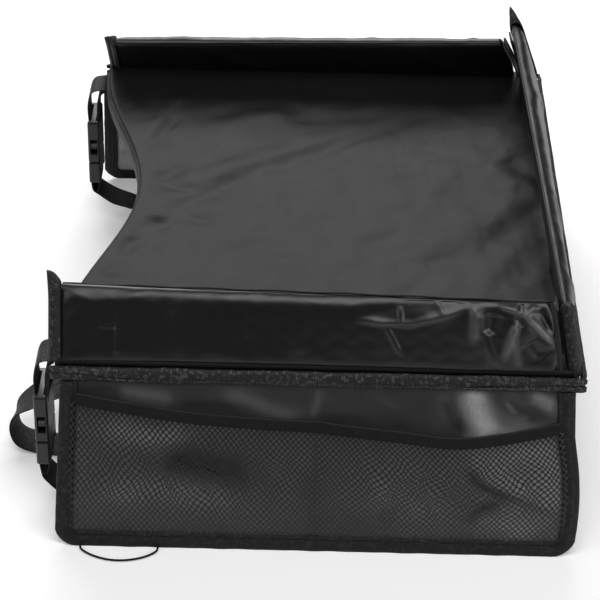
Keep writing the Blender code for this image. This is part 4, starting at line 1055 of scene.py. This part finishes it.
def makePanelCloth(name, side):
    straight = panel["length"] - panel["corner"]
    rounded = straight + panel["corner"] * np.sin(np.linspace(0, pi / 2, 7))[1:]
    depths = np.concatenate([[-panel["head"]], np.linspace(0, straight, 33), rounded])

    def place(u, v):
        d = depths[int(round(v * (len(depths) - 1)))]
        return panelPoint(side, panelHalf(d) * (2 * u - 1), d, 0)

    cloth = gridPiece(name + "PanelCloth", 110, len(depths) - 1, place, (0.324, 0.113), 0.0, 0, 0)
    at = readCorners(cloth)
    splay = radians(panel["splay"])
    x = at[:, 0] - tray["centre"] - (panel["farShift"] if side > 0 else 0)
    d = (hingeZ - at[:, 2]) / cos(splay)
    edge = np.minimum((0.158 - np.abs(x)) / 0.012, np.minimum(d / 0.004, (panel["length"] - d) / 0.012))
    calm = np.clip(edge, 0, 1)
    # The far panel has the near one's folds, turned round
    shown = -x if side > 0 else x
    lift, wearAndPaintedLight, paintedHighlights = ripple(x, d, 5 + side, panel["pitch"]) * panel["wave"], 0, 0
    for line, width, height in panelCreases:
        fold = crease(shown, d, line, width)
        lift += fold * height
        # Raised folds get painted highlight, dented folds a little less of it
        wearAndPaintedLight = wearAndPaintedLight + fold * (max(height - 0.0008, 0) / 0.0032 + min(height, 0) / 0.004)
    # Pale patches of painted highlight where the cloth catches the light
    for spotX, spotD, wide, tall, highlight in panelPaintedHighlights:
        paintedHighlights = paintedHighlights + highlight * np.exp(-((shown - spotX) / wide) ** 2 - ((d - spotD) / tall) ** 2)
    # Under the net the cloth stays behind it
    band = panel["length"] * np.interp(2 * x / panel["top"], mouthCurve[:, 0], mouthCurve[:, 1])
    behind = np.clip((d - band + 0.012) / 0.010, 0, 1)
    # Painted light: the cloth is painted paler behind the net, making up for the shade the net casts on it
    paintedBehindNet = panel["paintedLightBehindNet"] * np.clip((d - band) / 0.006, 0, 1)
    fade(cloth, wearAndPaintedLight * panel["wearAndPaintedLight"] + paintedBehindNet * (1 + wearAndPaintedLight) + paintedHighlights)
    room = np.abs(np.sin(2 * pi * (x / 0.151 + 1) / 2)) ** 0.4 * pocket["bulge"] * 0.8
    room = room * (1 - np.clip((d - band) / (panel["length"] - 0.006 - band), 0, 1) ** 2) - 0.0002
    high = panel["rise"] * (1 - behind) + np.minimum(room, panel["netRoom"]) * behind
    lift = np.minimum(np.maximum(lift, -panel["dent"]), high) * calm
    at += lift[:, None] * np.array([0, side * cos(splay), sin(splay)])
    writeCorners(cloth, at)
    thick = cloth.modifiers.new("thickness", "SOLIDIFY")
    thick.thickness, thick.offset = panel["cloth"], 0
    rounder = cloth.modifiers.new("smooth", "SUBSURF")
    rounder.levels = rounder.render_levels = 1
    harden(cloth)
    dress(cloth, finishes["panel"], "wall_fabric", name + "_panel", name + "_side_panel")


panelTape = {"around": 44, "thick": 0.0006, "flat": (0.55, 0.022), "ruffle": 0.00018, "seam": 0.0071,
             "stitch": {"long": 0.0019, "thick": 0.00036, "pitch": 0.0029}}


def makePanelTape(name, side):
    straight = panel["length"] - panel["corner"]
    line = [(-panelHalf(d), d, -1.0, 0.0) for d in np.linspace(-0.0012, straight, 30)]
    centre = panelHalf(panel["length"])
    line += [(-centre - panel["corner"] * cos(a), straight + panel["corner"] * sin(a), -cos(a), sin(a))
             for a in np.linspace(0, pi / 2, 8)[1:]]
    leg = list(line)
    line += [(x, panel["length"], 0.0, 1.0) for x in np.linspace(-centre, centre, 90)[1:-1]]
    line += [(-x, d, -across, down) for x, d, across, down in reversed(leg)]
    face = panel["cloth"] / 2 + panel["gap"] + 0.0006
    edge = -panel["gap"] - panel["fold"]
    # Two strips side by side on the outer face, with a groove between them
    section = [(panel["tape"], face - 0.0002), (0.0078, face + 0.0003), (0.0064, face + 0.0002),
               (0.0059, face - 0.0007), (0.0054, face + 0.0002), (0.0030, face + 0.0006), (0.0006, face + 0.0002),
               (edge * 0.8, face * 0.7), (edge, 0), (edge * 0.8, -face * 0.8), (0.0006, -face), (0.004, -face),
               (panel["tape"], -face)]
    profile = evenly(np.array(section), panelTape["around"] + 1)

    def place(u, v):
        x, d, across, down = line[int(round(u * (len(line) - 1)))]
        inset, out = profile[int(round(v * panelTape["around"]))]
        run = u * panelTape["flat"][0]
        ruffle = panelTape["ruffle"] * (sin(run / 0.0047) + sin(run / 0.0031 + 1)) * (1 if out > 0 else -1)
        return panelPoint(side, x - across * (inset + ruffle * 0.5), d - down * inset, out + ruffle)

    tape = gridPiece(name + "PanelTape", len(line) - 1, panelTape["around"], place, panelTape["flat"],
                     panelTape["thick"], -1, 0)
    outward(tape)
    dress(tape, finishes["panelTape"], "webbing_tape", name + "_panel", name + "_panel_binding")
    seam = panelTape["seam"]
    spine = evenly(np.array([(x - across * seam, d - down * seam) for x, d, across, down in line]), 260)
    stitchRow(name + "PanelStitches", [panelPoint(side, x, d, face + 0.0005) for x, d in spine],
              panelTape["stitch"], name + "_panel")


def pocketOut(across, down, base):
    lobe = abs(sin(2 * pi * across)) ** 0.4
    middle = pocket["divider"] * max(1 - abs(across - 0.5) / 0.1, 0)
    return base + pocket["bulge"] * max(lobe, middle) * (1 - down ** 2)


def makeNet(name, side):
    held = panel["tape"] - 0.0045
    base = panel["cloth"] / 2 + pocket["off"]
    low = panel["length"] - held
    columns, rows = int(pocket["netWide"] / pocket["cell"][0] / 2), int(pocket["netHigh"] / pocket["cell"][1])
    for lobe, label in enumerate(("rear", "front")):
        deselect()
        bpy.ops.mesh.primitive_grid_add(x_subdivisions=columns, y_subdivisions=rows, size=2, calc_uvs=False)
        net = bpy.context.object
        net.name = net.data.name = "%sPocketNet%s" % (name, label.title())
        # Each square is cut into four, and the old edges go, which leaves diamonds
        bpy.ops.object.mode_set(mode="EDIT")
        bpy.ops.mesh.select_mode(type="EDGE")
        bpy.ops.mesh.select_all(action="SELECT")
        bpy.ops.mesh.poke()
        bpy.ops.mesh.select_all(action="DESELECT")
        bpy.ops.object.mode_set(mode="OBJECT")
        flat = readCorners(net)
        for edge in net.data.edges:
            (ax, ay, _), (bx, by, _) = (flat[k] for k in edge.vertices)
            straight = abs(ax - bx) < 1e-5 or abs(ay - by) < 1e-5
            rim = (abs(ax - bx) < 1e-5 and abs(ax) > 0.9999) or (abs(ay - by) < 1e-5 and abs(ay) > 0.9999)
            edge.select = straight and not rim
        bpy.ops.object.mode_set(mode="EDIT")
        bpy.ops.mesh.dissolve_edges(use_verts=False)
        bpy.ops.object.mode_set(mode="OBJECT")
        points = []
        for a, b, _ in readCorners(net):
            across, down = (lobe + (a + 1) / 2) / 2, (1 - b) / 2
            top = mouthDepth((2 * across - 1) * panelHalf(0.05, held)) + pocket["bandHigh"] / 2 - 0.0015
            d = top + (low - top) * down
            x = (2 * across - 1) * panelHalf(d, held)
            loose = sin(pi * min(down * 1.1, 1)) * abs(sin(2 * pi * across)) ** 0.5
            sag = ripple(np.array([x]), np.array([d]), 21 + side, 0.06)[0]
            slip = ripple(np.array([x]), np.array([d]), 33 + side, 0.05)[0]
            points.append(panelPoint(side, x + slip * pocket["slip"] * loose, d + sag * pocket["sag"] * loose,
                                     pocketOut(across, down, base) + sag * pocket["slack"] * loose))
        writeCorners(net, points)
        pick(net)
        bpy.ops.object.mode_set(mode="EDIT")
        bpy.ops.mesh.select_mode(type="FACE")
        bpy.ops.mesh.select_all(action="SELECT")
        bpy.ops.mesh.inset(thickness=pocket["strand"] / 2, use_individual=True, use_even_offset=True)
        bpy.ops.mesh.delete(type="FACE")
        bpy.ops.object.mode_set(mode="OBJECT")
        thick = net.modifiers.new("thickness", "SOLIDIFY")
        thick.thickness, thick.offset = pocket["thick"], 0
        rounder = net.modifiers.new("smooth", "SUBSURF")
        rounder.levels = rounder.render_levels = 1
        harden(net)
        dress(net, finishes["net"], "pocket_net", name + "_panel", "%s_pocket_net_%s" % (name, label))
    # The stitched line between the pockets
    line = []
    for down in np.linspace(0.06, 0.97, 30):
        top = mouthDepth(0) + pocket["bandHigh"] / 2
        line.append(panelPoint(side, 0.0, top + (low - top) * down, pocketOut(0.5, down, base) + 0.0005))
    stitchRow(name + "DividerStitches", line, {"long": 0.0016, "thick": 0.0005, "pitch": 0.0030}, name + "_panel")


def makeBand(name, side):
    held = panel["tape"] - 0.002
    base = panel["cloth"] / 2 + pocket["off"] + 0.0006

    def place(u, v):
        x = (2 * u - 1) * panelHalf(0.05, held)
        d = mouthDepth(x) + (v - 0.5) * pocket["bandHigh"]
        x = (2 * u - 1) * panelHalf(d, held)
        gather = 0.0003 * sin(x / 0.0016) * sin(x / 0.011)
        return panelPoint(side, x, d, pocketOut(u, 0, base) + gather)

    band = gridPiece(name + "PocketBand", 160, 6, place, (0.31, pocket["bandHigh"]), pocket["bandThick"], 0, 1)
    dress(band, finishes["band"], "elastic", name + "_panel", name + "_pocket_band")
    # Its folded upper edge
    line = []
    for u in np.linspace(0.004, 0.996, 150):
        x = (2 * u - 1) * panelHalf(0.05, held)
        d = mouthDepth(x) - pocket["bandHigh"] / 2 + 0.0004
        line.append(panelPoint(side, (2 * u - 1) * panelHalf(d, held), d, pocketOut(u, 0, base)))
    dress(tubeAlong(name + "BandEdge", line, 0.0008), finishes["piping"], "elastic", name + "_panel")


for name, side in sides.items():
    makePanelCloth(name, side)
    makePanelTape(name, side)
    makeNet(name, side)
    makeBand(name, side)
    print(name, "panel made")

# The webbing

strap = {"wide": 0.025, "thick": 0.0013, "y": 0.178, "buckleX": -0.176, "wrap": 0.0033, "floor": 0.0013}


def ribbonPiece(name, centres, across, finish, body, *replaced):
    centres, across = np.array(centres), np.array(across)
    run = np.gradient(centres, axis=0)
    run /= np.linalg.norm(run, axis=1, keepdims=True)
    wide = across - run * (across * run).sum(axis=1, keepdims=True)
    wide /= np.linalg.norm(wide, axis=1, keepdims=True)

    def place(u, v):
        k = int(round(u * (len(centres) - 1)))
        return centres[k] + wide[k] * (v - 0.5) * strap["wide"]

    piece = gridPiece(name, len(centres) - 1, 8, place, (lengthOf(centres), strap["wide"]), strap["thick"], 0, 1)
    return dress(piece, finish, "webbing_tape", body, *replaced)


def halfTurn(x, z, upward):
    turn = 1 if upward else -1
    return [(x + strap["wrap"] * cos(a), z + turn * strap["wrap"] * sin(a)) for a in np.linspace(0, pi, 7)]


def makeAnchors():
    seamX, seamZ = -tray["length"] / 2 - 0.0016, (deckTop + deckBottom) / 2
    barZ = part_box("near_buckle_socket")[1][2] - 0.0015
    fall, reach = seamZ - barZ, seamX - strap["buckleX"]
    inner = [(seamX - reach * out, seamZ + 0.001 * lift - fall * down)
             for out, lift, down in ((0, -1, 0), (0.15, -1, 0), (0.42, 0, 0.17), (0.62, 0, 0.45))]
    outer = [(seamX - reach * out, seamZ + 0.001 * lift - fall * down)
             for out, lift, down in ((1.40, 0, 0.5), (1.10, 0, 0.06), (0.45, 1.2, 0), (0.15, 1, 0), (0, 1, 0))]
    for name, side in sides.items():
        line = curveThrough([(x + tray["centre"], side * strap["y"], z) for x, z in
                             inner + halfTurn(strap["buckleX"], barZ, False) + outer], 4)
        ribbonPiece(name + "Anchor", line, [(0, 1, 0)] * len(line), finishes["webbing"], "tray",
                    name + "_anchor_webbing")


strapShares = [  # along the tray, across it and up, as shares, and the direction of the webbing's width
    (-0.041, -1.000, 0.698, (0, 1, 0)), (-0.033, -0.997, 0.471, (0, 1, 0)), (0.006, -0.983, 0.099, (0, 1, 0)),
    (0.067, -0.949, 0.000, (0, 1, 0)), (0.133, -0.916, 0.086, (0, 1, 0)), (0.173, -0.876, 0.366, (0, 1, 0)),
    (0.139, -0.826, 0.647, (0, 1, 0)), (0.079, -0.781, 0.473, (0, 1, 0)), (0.018, -0.744, 0.152, (0, 1, 0)),
    (-0.042, -0.719, 0.000, (0, 1, 0)), (-0.103, -0.697, 0.059, (0, 1, 0)),
    (-0.122, -0.680, 0.313, (0.1, 1, 0.06)), (-0.109, -0.652, 0.607, (0.28, 1, 0.2)),
    (-0.048, -0.596, 0.848, (0.45, 1, 0.3)),
    (0.024, -0.517, 0.928, (0.45, 1, 0.25)), (0.097, -0.410, 0.741, (0.2, 1, 0.05)),
    (0.158, -0.270, 0.340, (-0.3, 1, -0.05)), (0.206, -0.090, 0.072, (-0.9, 0.7, 0)),
    (0.236, 0.140, 0.000, (-1, 0.25, 0)), (0.242, 0.393, 0.000, (-1, 0, 0)), (0.218, 0.646, 0.000, (-1, -0.3, 0)),
    (0.152, 0.843, 0.120, (-0.6, -1, 0.2)), (0.067, 0.949, 0.300, (-0.1, -1, 0.1)),
    (0.010, 0.983, 0.400, (0, -1, 0)), (-0.028, 0.997, 0.590, (0, -1, 0)), (-0.041, 1.000, 0.698, (0, -1, 0))]


def makeStrap():
    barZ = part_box("near_buckle_plug")[0][2] + 0.0015
    turn = halfTurn(strap["buckleX"], barZ, True)
    tail = [(strap["buckleX"] + 0.00105, barZ - 0.013), (strap["buckleX"] + 0.0028, barZ - 0.0065)]
    near = [(x, -strap["y"], z) for x, z in tail + turn]
    far = [(x, strap["y"], z) for x, z in reversed(tail + turn)]
    middle = [(-tray["length"] / 2 + x * tray["length"], y * strap["y"], strap["floor"] + z * barZ)
              for x, y, z, _ in strapShares]
    route = [(x + tray["centre"], y, z) for x, y, z in near + middle + far]
    widths = [(0, 1, 0)] * len(near) + [wide for *_, wide in strapShares] + [(0, -1, 0)] * len(far)
    steps = 6
    line, across = curveThrough(route, steps), curveThrough(widths, steps)
    first, last = (len(near) + 3) * steps, (len(route) - len(far) - 4) * steps
    parts = [("strapNearEnd", 0, first), ("strapMiddle", first, last), ("strapFarEnd", last, len(line) - 1)]
    for name, begin, end in parts:
        body = "tray" if name == "strapMiddle" else None
        piece = ribbonPiece(name, line[begin:end + 1], across[begin:end + 1], finishes["webbing"], body,
                            "waist_strap")
        if body is None:
            side = "near" if "Near" in name else "far"
            side + "_plug"
            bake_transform(piece)


makeAnchors()
makeStrap()
print("webbing made")

# What stays from the frame gets its finish

kept = {"buckle": [name + "_buckle_" + part for name in sides for part in ("socket", "plug", "arm_a", "arm_b")],
        "hook": [name + "_wall_hook_strip" for name in sides],
        "loop": [name + "_wall_loop_strip" for name in sides],
        "zip": ["board_zip"], "board": ["deck_board"]}
for finish, nodes in kept.items():
    for node in nodes:
        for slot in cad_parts[node].material_slots:
            slot.material = finishes[finish]
print("frame dressed")
